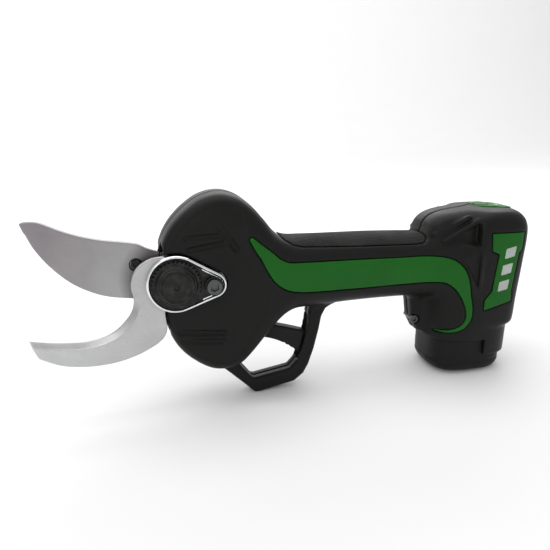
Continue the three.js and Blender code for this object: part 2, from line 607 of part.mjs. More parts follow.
const BLADE_SPINE = [
  [-69.4, 31.8], [-67.6, 32.6], [-64, 32.6], [-60, 31.6], [-52, 27.9], [-43.6, 24.9], [-34.6, 22.7],
  [-25.4, 21.3], [-18, 20], [-13, 17.4], [-7, 15.2],
];
const BLADE_EDGE = [
  [-9, -12.6], [-15, -9.2], [-21.7, -7.6], [-32.2, -6], [-41.4, -2.7], [-50.2, 2.7], [-58.5, 11], [-64.3, 19.4],
  [-67.8, 27.2],
];
const BUSH = { outer: 6.7, y1: -0.3 };
const BLADE_SCREWS = [{ x: -18.6, z: 9.6 }, { x: -17, z: -2.6 }];
const BLADE_SCREW = { headRadius: 3, headHeight: 1.3, radius: 1.6, key: 1.5 };
const bladeScrewRoom = join(...BLADE_SCREWS.map(({ x, z }) => join(
  discY(BLADE_SCREW.headRadius + GAP, MOVING_Y - 1, MOVING_Y + BLADE_SCREW.headHeight + 0.4, x, z, 24),
  discY(BLADE_SCREW.radius + GAP, MOVING_Y, SECTOR_Y + 2.4, x, z, 16),
)));
add('moving_blade', 'blade', cut(
  join(
    sidePlate(shapeOf([...smooth(BLADE_SPINE, 18), ...smooth(BLADE_EDGE, 16)]), MOVING_Y,
      MOVING_Y + BLADE_THICKNESS),
    discY(EYE_RADIUS - 0.4, MOVING_Y, MOVING_Y + BLADE_THICKNESS),
  ),
  discY(BUSH.outer + GAP, -30, 10),
  bladeScrewRoom,
));
BLADE_SCREWS.forEach(({ x, z }, i) => {
  const head = MOVING_Y + 0.1;
  add(`blade_screw_${i + 1}`, 'black', cut(
    join(
      discY(BLADE_SCREW.headRadius, head, head + BLADE_SCREW.headHeight, x, z, 20),
      discY(BLADE_SCREW.radius, head + 1, SECTOR_Y + 2, x, z, 12),
    ),
    discY(BLADE_SCREW.key, head - 1, head + 0.8, x, z, 6),
  ));
});
add('pivot_bush', 'brass', turned([
  [PIVOT_RADIUS + GAP, MOVING_Y], [BUSH.outer, MOVING_Y], [BUSH.outer, BUSH.y1], [PIVOT_RADIUS + GAP, BUSH.y1],
  [PIVOT_RADIUS + GAP, MOVING_Y],
], 32));

// Bevel pair: both pitch cones meet at the pivot, so every height scales with the radius.
const bevel = {
  outer: (SECTOR_TEETH * BEVEL_MODULE) / 2,
  drop: (PINION_TEETH * BEVEL_MODULE) / 2,
};
bevel.inner = bevel.outer - BEVEL_FACE;
const coneHeight = (radius, above) => (-bevel.drop + above * BEVEL_MODULE) * (radius / bevel.outer);

function sectorTooth(angle) {
  const pitch = (2 * Math.PI) / SECTOR_TEETH;
  const rings = [bevel.inner, bevel.outer].map((radius) => {
    const floor = coneHeight(radius, -TOOTH.dedendum) - 0.4;
    const tip = coneHeight(radius, TOOTH.addendum);
    return [[-TOOTH.root, floor], [-TOOTH.tip, tip], [TOOTH.tip, tip], [TOOTH.root, floor]].map(
      ([width, y]) => new THREE.Vector3(radius, y, (width / 2) * pitch * radius)
        .applyAxisAngle(new THREE.Vector3(0, -1, 0), angle).toArray());
  });
  return loft(rings);
}

const SECTOR_SPAN = { from: -60, to: 14 };
const sectorWeb = turned([
  [BUSH.outer + GAP, SECTOR_Y], [bevel.outer + 0.8, SECTOR_Y],
  [bevel.outer + 0.8, coneHeight(bevel.outer, -TOOTH.dedendum)],
  [bevel.inner - 0.5, coneHeight(bevel.inner, -TOOTH.dedendum)], [11, coneHeight(bevel.inner, -TOOTH.dedendum)],
  [11, BUSH.y1 - 0.2], [BUSH.outer + GAP, BUSH.y1 - 0.2], [BUSH.outer + GAP, SECTOR_Y],
], 40);
const HUB = { radius: 13, armThickness: 2.8 }; // the turning hub under the blade
const bladeArm = sidePlate(shapeOf([
  [0, 13], [-17, 14.6], [-22.6, 12.6], [-23.4, 8], [-21.4, -5], [-17, -7.6], [0, -13],
]), SECTOR_Y, SECTOR_Y + HUB.armThickness);
const teeth = [];
const toothPitch = 360 / SECTOR_TEETH;
for (let angle = -8.5 * toothPitch; angle < 2 * toothPitch; angle += toothPitch) {
  teeth.push(sectorTooth(THREE.MathUtils.degToRad(angle)));
}
add('sector_gear', 'steel', cut(
  join(
    sectorWeb.intersect(join(fan(40, SECTOR_SPAN.from, SECTOR_SPAN.to, -12, 5), discY(HUB.radius, -12, 5))),
    cut(bladeArm, discY(BUSH.outer + GAP, -30, 10)),
    ...teeth,
  ),
  bladeScrewRoom,
));

add('pivot_bolt', 'steel', turned([
  [0, NUT.shoulder + 1.2], [PIVOT_RADIUS, NUT.shoulder + 1.2], [PIVOT_RADIUS, BOLT_HEAD.y0],
  [BOLT_HEAD.radius, BOLT_HEAD.y0], [BOLT_HEAD.radius, BOLT_HEAD.y1], [0, BOLT_HEAD.y1],
], 32));

const BEARING = { x0: 30.5, x1: 37.5, inner: 4.3, outer: 8 };
const FRAME = { hub: 10, y0: 9.2, y1: 12.6 };
const frameArm = sidePlate(
  shapeOf([[-9, -8], [-9, 8], [0, 11], [33, 8], [33, -8], [0, -11]]), FRAME.y0, FRAME.y1,
);
add('gear_frame', 'alloy', cut(
  join(
    discY(FRAME.hub, 0, FRAME.y1, 0, 0, 32),
    frameArm,
    cut(discX(GEARBOX.radius, BEARING.x0, GEARBOX.x0 - GAP), discX(BEARING.outer + GAP, 20, 40)),
  ),
  discY(PIVOT_RADIUS + GAP, -5, 20),
));
add('pinion_bearing', 'steel', cut(
  discX(BEARING.outer, BEARING.x0 + 0.2, BEARING.x1),
  discX(BEARING.inner, 20, 50),
));

// ---------- planetary gearbox and motor, on the X axis ----------
const CARRIER = { x0: 39.3, x1: 42, pinRadius: 1.4, pinEnd: 51 };
const PLANET = { x0: 42.4, x1: 50.5 };
const orbit = ((SUN_TEETH + PLANET_TEETH) * PLANETARY_MODULE) / 2;
const planetAngles = [90, 210, 330].map(THREE.MathUtils.degToRad);
add('planet_carrier', 'steel', join(
  gearAlongX(gearShape(PINION_TEETH, BEVEL_MODULE), bevel.inner, bevel.outer, 0, 0, bevel.inner / bevel.outer),
  discX(5.6, bevel.outer - 0.1, 29.6),
  discX(4, 29.4, CARRIER.x0 + 0.5, 0, 0, 24),
  discX(9.4, CARRIER.x0, CARRIER.x1),
  ...planetAngles.map((angle) => discX(CARRIER.pinRadius, CARRIER.x1 - 0.5, CARRIER.pinEnd,
    orbit * Math.cos(angle), orbit * Math.sin(angle), 12)),
));
planetAngles.forEach((angle, i) => {
  const phase = angle + Math.PI + Math.PI / PLANET_TEETH;
  const y = orbit * Math.cos(angle);
  const z = orbit * Math.sin(angle);
  add(`planet_gear_${i + 1}`, 'steel', cut(
    gearAlongX(gearShape(PLANET_TEETH, PLANETARY_MODULE, phase), PLANET.x0, PLANET.x1, y, z),
    discX(CARRIER.pinRadius + GAP, 40, 52, y, z, 12),
  ));
});
add('ring_gear', 'steel', cut(
  discX(GEARBOX.radius, GEARBOX.x0, GEARBOX.x1),
  gearAlongX(gearShape(RING_TEETH, PLANETARY_MODULE, 0, true), GEARBOX.x0 - 1, GEARBOX.x1 + 1),
));
const SHAFT_RADIUS = 1.9;
const ROTOR = { radius: 9.1, x0: 56.5, x1: 92.5 };
add('sun_gear', 'steel', join(
  gearAlongX(gearShape(SUN_TEETH, PLANETARY_MODULE), PLANET.x0, PLANET.x1),
  discX(SHAFT_RADIUS, PLANET.x1 - 0.1, MOTOR.x1 - 1, 0, 0, 16),
));
add('motor_rotor', 'steel', cut(
  discX(ROTOR.radius, ROTOR.x0, ROTOR.x1),
  discX(SHAFT_RADIUS + GAP, 50, 100, 0, 0, 16),
));
add('motor_can', 'steel', cut(
  discX(MOTOR.radius, MOTOR.x0, MOTOR.x1),
  discX(MOTOR.bore, ROTOR.x0 - 1, ROTOR.x1 + 1),
  discX(SHAFT_RADIUS + 0.5, 50, 110, 0, 0, 16),
));
add('motor_end_cap', 'alloy', discX(12.6, MOTOR.x1 + GAP, MOTOR.x1 + 2.3));

const boardParts = [
  [102, 134, -10.5, 10.5, -3.4, -1.8],
  ...[0, 1, 2].flatMap((i) => [-1, 1].map((side) => [
    106 + 7.5 * i, 110.5 + 7.5 * i, side * 6 - 2.6, side * 6 + 2.6, -1.9, 0.6,
  ])),
  [127, 133, -5, 5, -1.9, 4],
];
add('controller_board', 'board', join(...boardParts.map((extent) => box(...extent))));
add('terminal_block', 'shell', cut(
  box(TERMINAL.x0, TERMINAL.x1, -TERMINAL.halfWidth, TERMINAL.halfWidth, TERMINAL.z0, TERMINAL.z1),
  ...TERMINAL.slots.map((y) => box(
    TERMINAL.x0 + 2, TERMINAL.x1 - 2, y - 0.6, y + 0.6, TERMINAL.z0 - 1, TERMINAL.z0 + 5,
  )),
));

// ---------- trigger ----------
const TRIGGER_TOP = [[45.5, -26.8], [51.7, -31], [62.2, -34.2], [70.6, -36.8]];
const TRIGGER_UNDER = [[67.6, -50], [62.6, -46], [56.4, -42], [50.6, -39.6], [44.5, -38]];
const trigger = join(
  sidePlate(shapeOf([...TRIGGER_TOP, ...TRIGGER_UNDER, [40, -35]]), -TRIGGER_HALF_WIDTH, TRIGGER_HALF_WIDTH, 0.9),
  discY(5, -TRIGGER_HALF_WIDTH, TRIGGER_HALF_WIDTH, TRIGGER_PIN.x, TRIGGER_PIN.z, 28),
  box(33.4, 41, -2.4, 2.4, -34.6, -31.4),
);
add('trigger_lever', 'shell', cut(
  trigger,
  discY(TRIGGER_PIN.radius + GAP, -10, 10, TRIGGER_PIN.x, TRIGGER_PIN.z, 16),
));
add('trigger_magnet', 'steel', discZ(1.8, -36.2, -34.9, 35.6, 0, 16));
add('trigger_sensor_board', 'board', join(box(28, 39, -5, 5, -40.4, -39), box(34, 37.2, -1.6, 1.6, -39.2, -38)));
add('trigger_pin', 'steel',
  discY(TRIGGER_PIN.radius, -TRIGGER_PIN.reach, TRIGGER_PIN.reach, TRIGGER_PIN.x, TRIGGER_PIN.z, 16));

const SPRING = { radius: 2.7, wire: 0.45, turns: 2.5, y0: 4.4, y1: 7.2 };
const springPath = new THREE.CatmullRomCurve3(Array.from({ length: 31 }, (_, i) => {
  const angle = (2 * Math.PI * SPRING.turns * i) / 30;
  return new THREE.Vector3(
    TRIGGER_PIN.x + SPRING.radius * Math.cos(angle),
    THREE.MathUtils.lerp(SPRING.y0, SPRING.y1, i / 30),
    TRIGGER_PIN.z + SPRING.radius * Math.sin(angle),
  );
}));
const wire = new THREE.Shape().absarc(0, 0, SPRING.wire, 0, 2 * Math.PI);
add('trigger_spring', 'steel', solidOf(new THREE.ExtrudeGeometry(wire, {
  extrudePath: springPath, steps: 30, curveSegments: 3,
})));

// ---------- battery pack ----------
function packShape(inset, z0, z1) {
  return loftAlongZ([z0, z1].map((z) => [
    z, BATTERY.x, BATTERY.halfLength - inset, BATTERY.halfWidth - inset, BATTERY.power,
  ]), 28);
}
const BASE_WALL = 1.4;
const CASE_INSET = 0.5; // the upper case is slimmer than the base
const split = BATTERY.rim - GAP; // the base ends at the pod's rim
const LATCH = { x0: 188, x1: 189.4, halfWidth: 7.6, z0: -61.2, z1: -55, ribs: [-60, -58.1, -56.2] };
const LATCH_ROOM = 0.6; // room round the latch for its travel
const latchPocket = box(LATCH.x0 - LATCH_ROOM, 200, -LATCH.halfWidth - LATCH_ROOM, LATCH.halfWidth + LATCH_ROOM,
  LATCH.z0 - 0.4, LATCH.z1 + 0.4);
const heelTrim = loftAlongZ([
  [BATTERY.bottom, BATTERY.x, BATTERY.halfLength - 2, BATTERY.halfWidth - 2, BATTERY.power],
  [BATTERY.bottom + 2, BATTERY.x, BATTERY.halfLength, BATTERY.halfWidth, BATTERY.power],
  [split, BATTERY.x, BATTERY.halfLength, BATTERY.halfWidth, BATTERY.power],
], 28);
add('battery_base', 'shell', cut(
  heelTrim,
  packShape(BASE_WALL, BATTERY.bottom + BASE_WALL, 0),
  latchPocket,
));
add('battery_case', 'shell', cut(
  packShape(CASE_INSET, split + GAP, BATTERY.top),
  packShape(BASE_WALL + 0.1, split - 5, BATTERY.top - 1.6),
));
for (let i = 0; i < 4; i++) {
  const x = BATTERY.x + (i % 2 ? 1 : -1) * CELL.offset;
  const y = (i < 2 ? -1 : 1) * CELL.offset;
  add(`battery_cell_${i + 1}`, 'cell', discZ(CELL.radius, CELL.bottom, CELL.bottom + CELL.height, x, y, 24));
}
add('battery_board', 'board', box(BATTERY.x - 14, BATTERY.x + 14, -12, 12, CELL.bottom + CELL.height + 0.4, 4.7));
add('battery_contacts', 'brass', box(161, 174, -7, 7, BATTERY.top + 0.1, BATTERY.top + 1));
add('battery_latch', 'shell', join(
  box(LATCH.x0, LATCH.x1, -LATCH.halfWidth, LATCH.halfWidth, LATCH.z0, LATCH.z1),
  ...LATCH.ribs.map((z) => box(LATCH.x1 - 0.4, LATCH.x1 + 0.8, -6.4, 6.4, z - 0.5, z + 0.5)),
));

// ---------- stand the tool on its toe and heel ----------
const span = BATTERY_HEEL.clone().sub(GUARD_TOE);
const lean = Math.atan2(span.y, span.x);
tool.rotation.y = lean;
tool.updateMatrixWorld(true);
const bounds = new THREE.Box3().setFromObject(tool, true);
const centre = bounds.getCenter(new THREE.Vector3());
tool.position.set(-centre.x, -centre.y, -bounds.min.z);

const pruner = new THREE.Group();
pruner.add(tool);
export default pruner;
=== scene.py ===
"""A cordless electric pruner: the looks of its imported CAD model.

Each visible piece is drawn as a distance field in the tool's own frame, in millimetres, with the
pivot at the origin, the handle along +X and the fixed blade on the -Y side. The field is turned into
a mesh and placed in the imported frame. Pieces that the housing hides keep their CAD mesh.
"""

import json
import math

import bpy
import numpy as np
from mathutils import Matrix, Vector


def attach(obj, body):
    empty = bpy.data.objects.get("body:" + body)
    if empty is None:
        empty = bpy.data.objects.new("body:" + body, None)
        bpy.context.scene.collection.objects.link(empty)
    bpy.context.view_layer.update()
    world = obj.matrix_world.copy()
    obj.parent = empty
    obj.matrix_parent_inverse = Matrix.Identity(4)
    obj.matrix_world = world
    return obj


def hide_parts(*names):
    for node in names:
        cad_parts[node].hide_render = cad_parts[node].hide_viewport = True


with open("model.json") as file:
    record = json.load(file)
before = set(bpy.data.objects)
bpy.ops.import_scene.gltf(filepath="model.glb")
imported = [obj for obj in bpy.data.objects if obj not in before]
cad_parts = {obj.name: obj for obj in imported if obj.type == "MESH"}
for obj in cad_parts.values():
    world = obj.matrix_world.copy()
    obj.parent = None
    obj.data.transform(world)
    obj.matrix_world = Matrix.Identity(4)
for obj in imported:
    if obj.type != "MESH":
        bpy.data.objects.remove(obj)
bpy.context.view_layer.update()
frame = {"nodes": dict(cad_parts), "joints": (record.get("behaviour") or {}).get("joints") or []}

# ---------- the tool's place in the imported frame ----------
joints = {joint["name"]: joint for joint in frame["joints"]}
PIVOT_MARK_Y = -0.012  # where the blade's joint is marked on the pivot's axis
slide_axis = joints["battery_slide"]["axis"]
lean = math.atan2(-slide_axis[0], -slide_axis[2])
pivot = Vector(joints["blade_swing"]["pos_m"]) - Vector((0, PIVOT_MARK_Y, 0))
TOOL = Matrix.Translation(pivot) @ Matrix.Rotation(lean, 4, "Y") @ Matrix.Scale(0.001, 4)

# ---------- camera ----------
CAMERA = {"target": (54, 0, -4), "azimuth": -13, "elevation": 16, "distance": 305, "lens": 36.65}


def make_camera():
    azimuth = math.radians(CAMERA["azimuth"])
    elevation = math.radians(CAMERA["elevation"])
    away = Vector((
        math.sin(azimuth) * math.cos(elevation),
        -math.cos(azimuth) * math.cos(elevation),
        math.sin(elevation),
    ))
    right = Vector((math.cos(azimuth), math.sin(azimuth), 0))
    up = away.cross(right)
    turn = Matrix((right, up, away)).transposed().to_4x4()
    place = Matrix.Translation(Vector(CAMERA["target"]) + away * CAMERA["distance"])
    camera = bpy.data.objects.new("camera", bpy.data.cameras.new("camera"))
    bpy.context.scene.collection.objects.link(camera)
    camera.matrix_world = TOOL @ place @ turn @ Matrix.Scale(1000, 4)
    camera.data.lens = CAMERA["lens"]
    camera.data.sensor_width = 36
    camera.data.clip_start = 0.01
    bpy.context.scene.camera = camera


make_camera()

# ---------- distance fields ----------


class Grid:
    """Sample points of a box in the tool's frame, as three arrays that broadcast together."""

    def __init__(self, low, high, cell):
        self.low = np.array(low, float)
        self.cell = cell
        axes = [
            (a + cell * np.arange(int(math.ceil((b - a) / cell)) + 1)).astype(np.float32)
            for a, b in zip(low, high)
        ]
        self.x, self.y, self.z = np.ix_(*axes)


def join(a, b, blend=0.0):
    """Union of two fields, with a fillet where blend is over 0."""
    if blend <= 0:
        return np.minimum(a, b)
    h = np.maximum(blend - np.abs(a - b), 0) / blend
    return np.minimum(a, b) - h * h * blend / 4


def meet(a, b, blend=0.0):
    """Intersection of two fields, with a rounded edge where blend is over 0."""
    return -join(-a, -b, blend)


def cut(a, b, blend=0.0):
    return meet(a, -b, blend)


def ramp(value, width):
    """0 below 0, 1 above width, smooth between."""
    t = np.clip(value / width, 0, 1)
    return t * t * (3 - 2 * t)


def line(pairs):
    """Smooth curve through a few points, as a function of the first coordinate."""
    at = np.array([p[0] for p in pairs], float)
    value = np.array([p[1] for p in pairs], float)
    slope = np.empty(len(pairs))
    slope[1:-1] = (value[2:] - value[:-2]) / (at[2:] - at[:-2])
    slope[0] = (value[1] - value[0]) / (at[1] - at[0])
    slope[-1] = (value[-1] - value[-2]) / (at[-1] - at[-2])

    def curve(x):
        i = np.clip(np.searchsorted(at, x) - 1, 0, len(at) - 2)
        span = at[i + 1] - at[i]
        t = np.clip((x - at[i]) / span, 0, 1)
        rise = value[i] * (1 + 2 * t) * (1 - t) ** 2 + value[i + 1] * t * t * (3 - 2 * t)
        rise = rise + span * (slope[i] * t * (1 - t) ** 2 - slope[i + 1] * t * t * (1 - t))
        return rise.astype(np.float32)

    return curve


def gauge(u, half_u, v, half_v, power):
    """Distance, near enough, to a superellipse."""
    a = np.maximum(np.abs(u) / half_u, 1e-3)
    b = np.maximum(np.abs(v) / half_v, 1e-3)
    a_slope = a ** (power - 1)
    b_slope = b ** (power - 1)
    r = (a_slope * a + b_slope * b) ** (1 / power)
    slope = np.sqrt((a_slope / half_u) ** 2 + (b_slope / half_v) ** 2) * r ** (1 - power)
    return (r - 1) / slope


def loft_x(g, stations):
    """Form through stations of (x, bottom, top, half width, power)."""
    bottom, top, half_width, power = (
        line([(s[0], s[k]) for s in stations])(g.x) for k in (1, 2, 3, 4)
    )
    return gauge(g.y, half_width, g.z - (bottom + top) / 2, (top - bottom) / 2, power)


def loft_z(g, stations):
    """Form through stations of (z, centre x, half length, half width, power)."""
    centre, half_length, half_width, power = (
        line([(s[0], s[k]) for s in stations])(g.z) for k in (1, 2, 3, 4)
    )
    return gauge(g.x - centre, half_length, g.y, half_width, power)


def even(field, cell):
    """Scale a field so that it grows by one millimetre for each millimetre away from its surface."""
    steepness = np.sqrt(sum(part * part for part in np.gradient(field, cell)))
    return field / np.clip(steepness, 0.35, 5)


def box(g, low, high):
    parts = [
        np.abs(axis - (a + b) / 2) - (b - a) / 2
        for axis, a, b in zip((g.x, g.y, g.z), low, high)
    ]
    return np.maximum(np.maximum(parts[0], parts[1]), parts[2])


def outline(g, points):
    """Signed distance in X and Z to a closed outline, the same for every y."""
    x, z = g.x[:, 0, :], g.z[0, 0, :][None, :]
    points = np.asarray(points, float)
    best = np.full((len(g.x), g.z.shape[2]), 1e9)
    inside = np.zeros(best.shape, bool)
    for (ax, az), (bx, bz) in zip(points, np.roll(points, -1, axis=0)):
        dx, dz = bx - ax, bz - az
        t = np.clip(((x - ax) * dx + (z - az) * dz) / max(dx * dx + dz * dz, 1e-9), 0, 1)
        best = np.minimum(best, (x - ax - t * dx) ** 2 + (z - az - t * dz) ** 2)
        if dz != 0:
            inside ^= ((az > z) != (bz > z)) & (x < dx * (z - az) / dz + ax)
    distance = np.sqrt(best)
    return np.where(inside, -distance, distance)[:, None, :].astype(np.float32)


def band(g, stations):
    """Signed distance in X and Z to a band of changing width along stations of (x, z, half width)."""
    x, z = g.x[:, 0, :], g.z[0, 0, :][None, :]
    best = np.full((len(g.x), g.z.shape[2]), 1e9)
    for (ax, az, aw), (bx, bz, bw) in zip(stations[:-1], stations[1:]):
        dx, dz = bx - ax, bz - az
        t = np.clip(((x - ax) * dx + (z - az) * dz) / max(dx * dx + dz * dz, 1e-9), 0, 1)
        away = np.sqrt((x - ax - t * dx) ** 2 + (z - az - t * dz) ** 2)
        best = np.minimum(best, away - (aw + t * (bw - aw)))
    return best[:, None, :].astype(np.float32)


def slab(g, flat, y0, y1, rounding=0.0):
    """Plate between y0 and y1 over a flat field, with rounded edges."""
    across = np.abs(g.y - (y0 + y1) / 2) - (y1 - y0) / 2 + rounding
    inwards = flat + rounding
    outside = np.sqrt(np.maximum(across, 0) ** 2 + np.maximum(inwards, 0) ** 2)
    return outside + np.minimum(np.maximum(across, inwards), 0) - rounding


def chamfered(g, flat, y0, y1, chamfer):
    """Plate between y0 and y1 over a flat field, with its edges cut at 45 degrees."""
    across = np.abs(g.y - (y0 + y1) / 2) - (y1 - y0) / 2
    slope = (flat + across + chamfer) * 0.7071
    return np.maximum(np.maximum(flat, across), slope)


def around(g, x=0.0, z=0.0):
    """Distance from a line along Y."""
    return np.sqrt((g.x - x) ** 2 + (g.z - z) ** 2)


def upright(g, x, y):
    """Distance from a line along Z."""
    return np.sqrt((g.x - x) ** 2 + (g.y - y) ** 2)


def groove(g, a, b):
    """Distance in X and Z from a straight stroke."""
    return band(g, [(*a, 0), (*b, 0)])


def rod(g, a, b):
    """Distance from a straight stroke in space, mirrored to both sides."""
    start, end = np.array(a, float), np.array(b, float)
    along = end - start
    x, y, z = g.x - start[0], np.abs(g.y) - start[1], g.z - start[2]
    t = np.clip((x * along[0] + y * along[1] + z * along[2]) / (along @ along), 0, 1)
    return np.sqrt((x - t * along[0]) ** 2 + (y - t * along[1]) ** 2 + (z - t * along[2]) ** 2)


def spline(points, steps):
    """Smooth curve through points, with the same number of steps in each span."""
    p = np.asarray(points, float)
    p = np.vstack([2 * p[0] - p[1], p, 2 * p[-1] - p[-2]])
    t = np.linspace(0, 1, steps, endpoint=False)[:, None]
    spans = []
    for a, b, c, d in zip(p[:-3], p[1:-2], p[2:-1], p[3:]):
        spans.append(0.5 * (
            2 * b + (c - a) * t + (2 * a - 5 * b + 4 * c - d) * t ** 2
            + (3 * b - a - 3 * c + d) * t ** 3
        ))
    return np.vstack(spans + [p[-2][None]])


# ---------- meshes from fields ----------


def surface(field):
    """Surface nets: a vertex in each cell that the zero surface crosses, a quad round each crossed edge."""
    cells = np.array(field.shape) - 1
    stride = np.array([cells[1] * cells[2], cells[2], 1])
    quads, owners, crossings = [], [], []
    for axis in range(3):
        a, b = (axis + 1) % 3, (axis + 2) % 3
        start, end = [slice(None)] * 3, [slice(None)] * 3
        start[axis], end[axis] = slice(0, -1), slice(1, None)
        first, second = field[tuple(start)], field[tuple(end)]
        edges = np.argwhere((first < 0) != (second < 0))
        inner = np.all(
            (edges[:, [a, b]] > 0) & (edges[:, [a, b]] < cells[[a, b]]), axis=1
        )
        edges = edges[inner]
        v0, v1 = first[tuple(edges.T)], second[tuple(edges.T)]
        place = edges.astype(float)
        place[:, axis] += v0 / (v0 - v1)
        corners = []
        for step_a, step_b in ((-1, -1), (0, -1), (0, 0), (-1, 0)):
            cell = edges.copy()
            cell[:, a] += step_a
            cell[:, b] += step_b
            corners.append(cell @ stride)
            owners.append(corners[-1])
            crossings.append(place)
        quad = np.stack(corners, axis=1)
        quad[v0 > 0] = quad[v0 > 0][:, ::-1]
        quads.append(quad)
    owners, crossings = np.concatenate(owners), np.vstack(crossings)
    ids, index = np.unique(owners, return_inverse=True)
    count = np.bincount(index)
    points = np.stack([np.bincount(index, crossings[:, k]) / count for k in range(3)], axis=1)
    faces = np.searchsorted(ids, np.vstack(quads))
    base = np.stack([ids // stride[0], (ids // stride[1]) % cells[1], ids % cells[2]], axis=1)
    return settle(field, points, base), faces


def settle(field, points, base):
    """Move each vertex onto the zero surface, inside its own cell."""
    value = {
        (i, j, k): field[base[:, 0] + i, base[:, 1] + j, base[:, 2] + k]
        for i in (0, 1) for j in (0, 1) for k in (0, 1)
    }
    for _ in range(2):
        u = points - base
        here = np.zeros(len(points))
        slope = np.zeros_like(points)
        for corner, v in value.items():
            share = [u[:, k] if corner[k] else 1 - u[:, k] for k in range(3)]
            here += v * share[0] * share[1] * share[2]
            for k in range(3):
                others = [share[m] for m in range(3) if m != k]
                slope[:, k] += v * (1 if corner[k] else -1) * others[0] * others[1]
        step = here[:, None] * slope / np.maximum((slope ** 2).sum(1), 1e-6)[:, None]
        points = base + np.clip(u - np.clip(step, -0.4, 0.4), 0.02, 0.98)
    return points


def mesh_object(name, points, faces):
    """Object from points in the tool's frame and quads."""
    matrix = np.array(TOOL)
    world = points @ matrix[:3, :3].T + matrix[:3, 3]
    mesh = bpy.data.meshes.new(name)
    mesh.vertices.add(len(world))
    mesh.vertices.foreach_set("co", world.astype(np.float32).ravel())
    mesh.loops.add(faces.size)
    mesh.loops.foreach_set("vertex_index", faces.astype(np.int32).ravel())
    mesh.polygons.add(len(faces))
    mesh.polygons.foreach_set("loop_start", np.arange(0, faces.size, 4, dtype=np.int32))
    mesh.polygons.foreach_set("use_smooth", np.ones(len(faces), bool))
    mesh.update(calc_edges=True)
    mesh.validate()
    thing = bpy.data.objects.new(name, mesh)
    bpy.context.scene.collection.objects.link(thing)
    return thing


def piece(name, grid, field, material, body, slot, *nodes):
    """A finished piece: mesh, material, the body that it rides on and the CAD nodes that it stands for."""
    points, faces = surface(np.broadcast_to(field, (grid.x.size, grid.y.size, grid.z.size)))
    thing = mesh_object(name, grid.low + points * grid.cell, faces)
    thing.data.materials.append(material)
    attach(thing, body)
    if nodes:
        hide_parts(*nodes)


# ---------- materials ----------


class Look:
    """A node material on Object coordinates, so that its detail has a real size."""

    def __init__(self, name, color, roughness, metallic=0.0, **sockets):
        self.material = bpy.data.materials.new(name)
        self.material.use_nodes = True
        self.tree = self.material.node_tree
        self.shader = self.tree.nodes["Principled BSDF"]
        self.shader.inputs["Roughness"].default_value = roughness
        self.shader.inputs["Metallic"].default_value = metallic
        self.shader.inputs["Base Color"].default_value = (*color, 1)
        for socket, value in sockets.items():
            self.shader.inputs[socket.replace("_", " ")].default_value = value
        self.coordinates = self.node("ShaderNodeTexCoord").outputs["Object"]
        self.height = None

    def node(self, kind, **settings):
        node = self.tree.nodes.new(kind)
        for setting, value in settings.items():
            setattr(node, setting, value)
        return node

    def feed(self, node, socket, source):
        self.tree.links.new(source, node.inputs[socket])

    def noise(self, size, detail=3.0, stretch=(1, 1, 1)):
        """Noise whose features are about size millimetres across."""
        mapping = self.node("ShaderNodeMapping")
        mapping.inputs["Scale"].default_value = [1 / s for s in stretch]
        self.feed(mapping, "Vector", self.coordinates)
        noise = self.node("ShaderNodeTexNoise")
        noise.inputs["Scale"].default_value = 1000 / size
        noise.inputs["Detail"].default_value = detail
        self.feed(noise, "Vector", mapping.outputs["Vector"])
        return noise.outputs["Fac"]

    def dots(self, size):
        """Small round dots, size millimetres apart."""
        cells = self.node("ShaderNodeTexVoronoi")
        cells.inputs["Scale"].default_value = 1000 / size
        cells.inputs["Randomness"].default_value = 0.35
        self.feed(cells, "Vector", self.coordinates)
        return cells.outputs["Distance"]

    def between(self, source, low, high, from_low=0.3, from_high=0.7):
        """The source's values spread over low to high."""
        spread = self.node("ShaderNodeMapRange")
        spread.inputs["From Min"].default_value = from_low
        spread.inputs["From Max"].default_value = from_high
        spread.inputs["To Min"].default_value = low
        spread.inputs["To Max"].default_value = high
        self.feed(spread, "Value", source)
        return spread.outputs["Result"]

    def tint(self, source, dark, light):
        """Base colour that runs from dark to light with the source."""
        blend = self.node("ShaderNodeMix", data_type="RGBA")
        blend.inputs[6].default_value = (*dark, 1)
        blend.inputs[7].default_value = (*light, 1)
        self.feed(blend, 0, source)
        self.feed(self.shader, "Base Color", blend.outputs[2])
        return self

    def rough(self, source, low, high):
        self.feed(self.shader, "Roughness", self.between(source, low, high))
        return self

    def bump(self, source, depth):
        """Relief, depth millimetres high."""
        bump = self.node("ShaderNodeBump")
        bump.inputs["Distance"].default_value = depth / 1000
        bump.inputs["Strength"].default_value = 1
        self.feed(bump, "Height", source)
        if self.height:
            self.feed(bump, "Normal", self.height)
        self.height = bump.outputs["Normal"]
        self.feed(self.shader, "Normal", self.height)
        return self


def times(color, factor):
    return tuple(min(channel * factor, 1) for channel in color)


def moulded(name, color, roughness, grain=0.45, relief=0.018, spread=0.12):
    """Spark-eroded moulded plastic: fine grain, a faint mottle, and patches that hands have polished."""
    look = Look(name, color, roughness, Specular_IOR_Level=0.15)
    patches = look.noise(34, 4)
    look.tint(look.between(patches, 0, 1), times(color, 1 - spread), times(color, 1 + spread))
    look.rough(look.noise(22, 5), roughness - 0.07, roughness + 0.07)
    look.bump(look.noise(grain, 2), relief)
    return look.material


def dotted_grip(name, color):
    """Rubbery pad with rows of fine raised dots, their tops painted lighter and the gaps between them darker
    as painted highlight and shade.
    """
    look = Look(name, color, 0.8, Specular_IOR_Level=0.35)
    dots = look.dots(1.05)
    # Painted highlight and shade: the colour follows the dots' relief, light on the raised dots and dark in
    # the gaps.
    look.tint(look.between(dots, 1, 0, 0.15, 0.6), times(color, 0.6), times(color, 1.35))
    look.rough(look.noise(15, 4), 0.72, 0.88)
    look.bump(look.between(dots, 1, 0, 0.2, 0.55), 0.12)
    look.bump(look.noise(0.3, 2), 0.01)
    return look.material


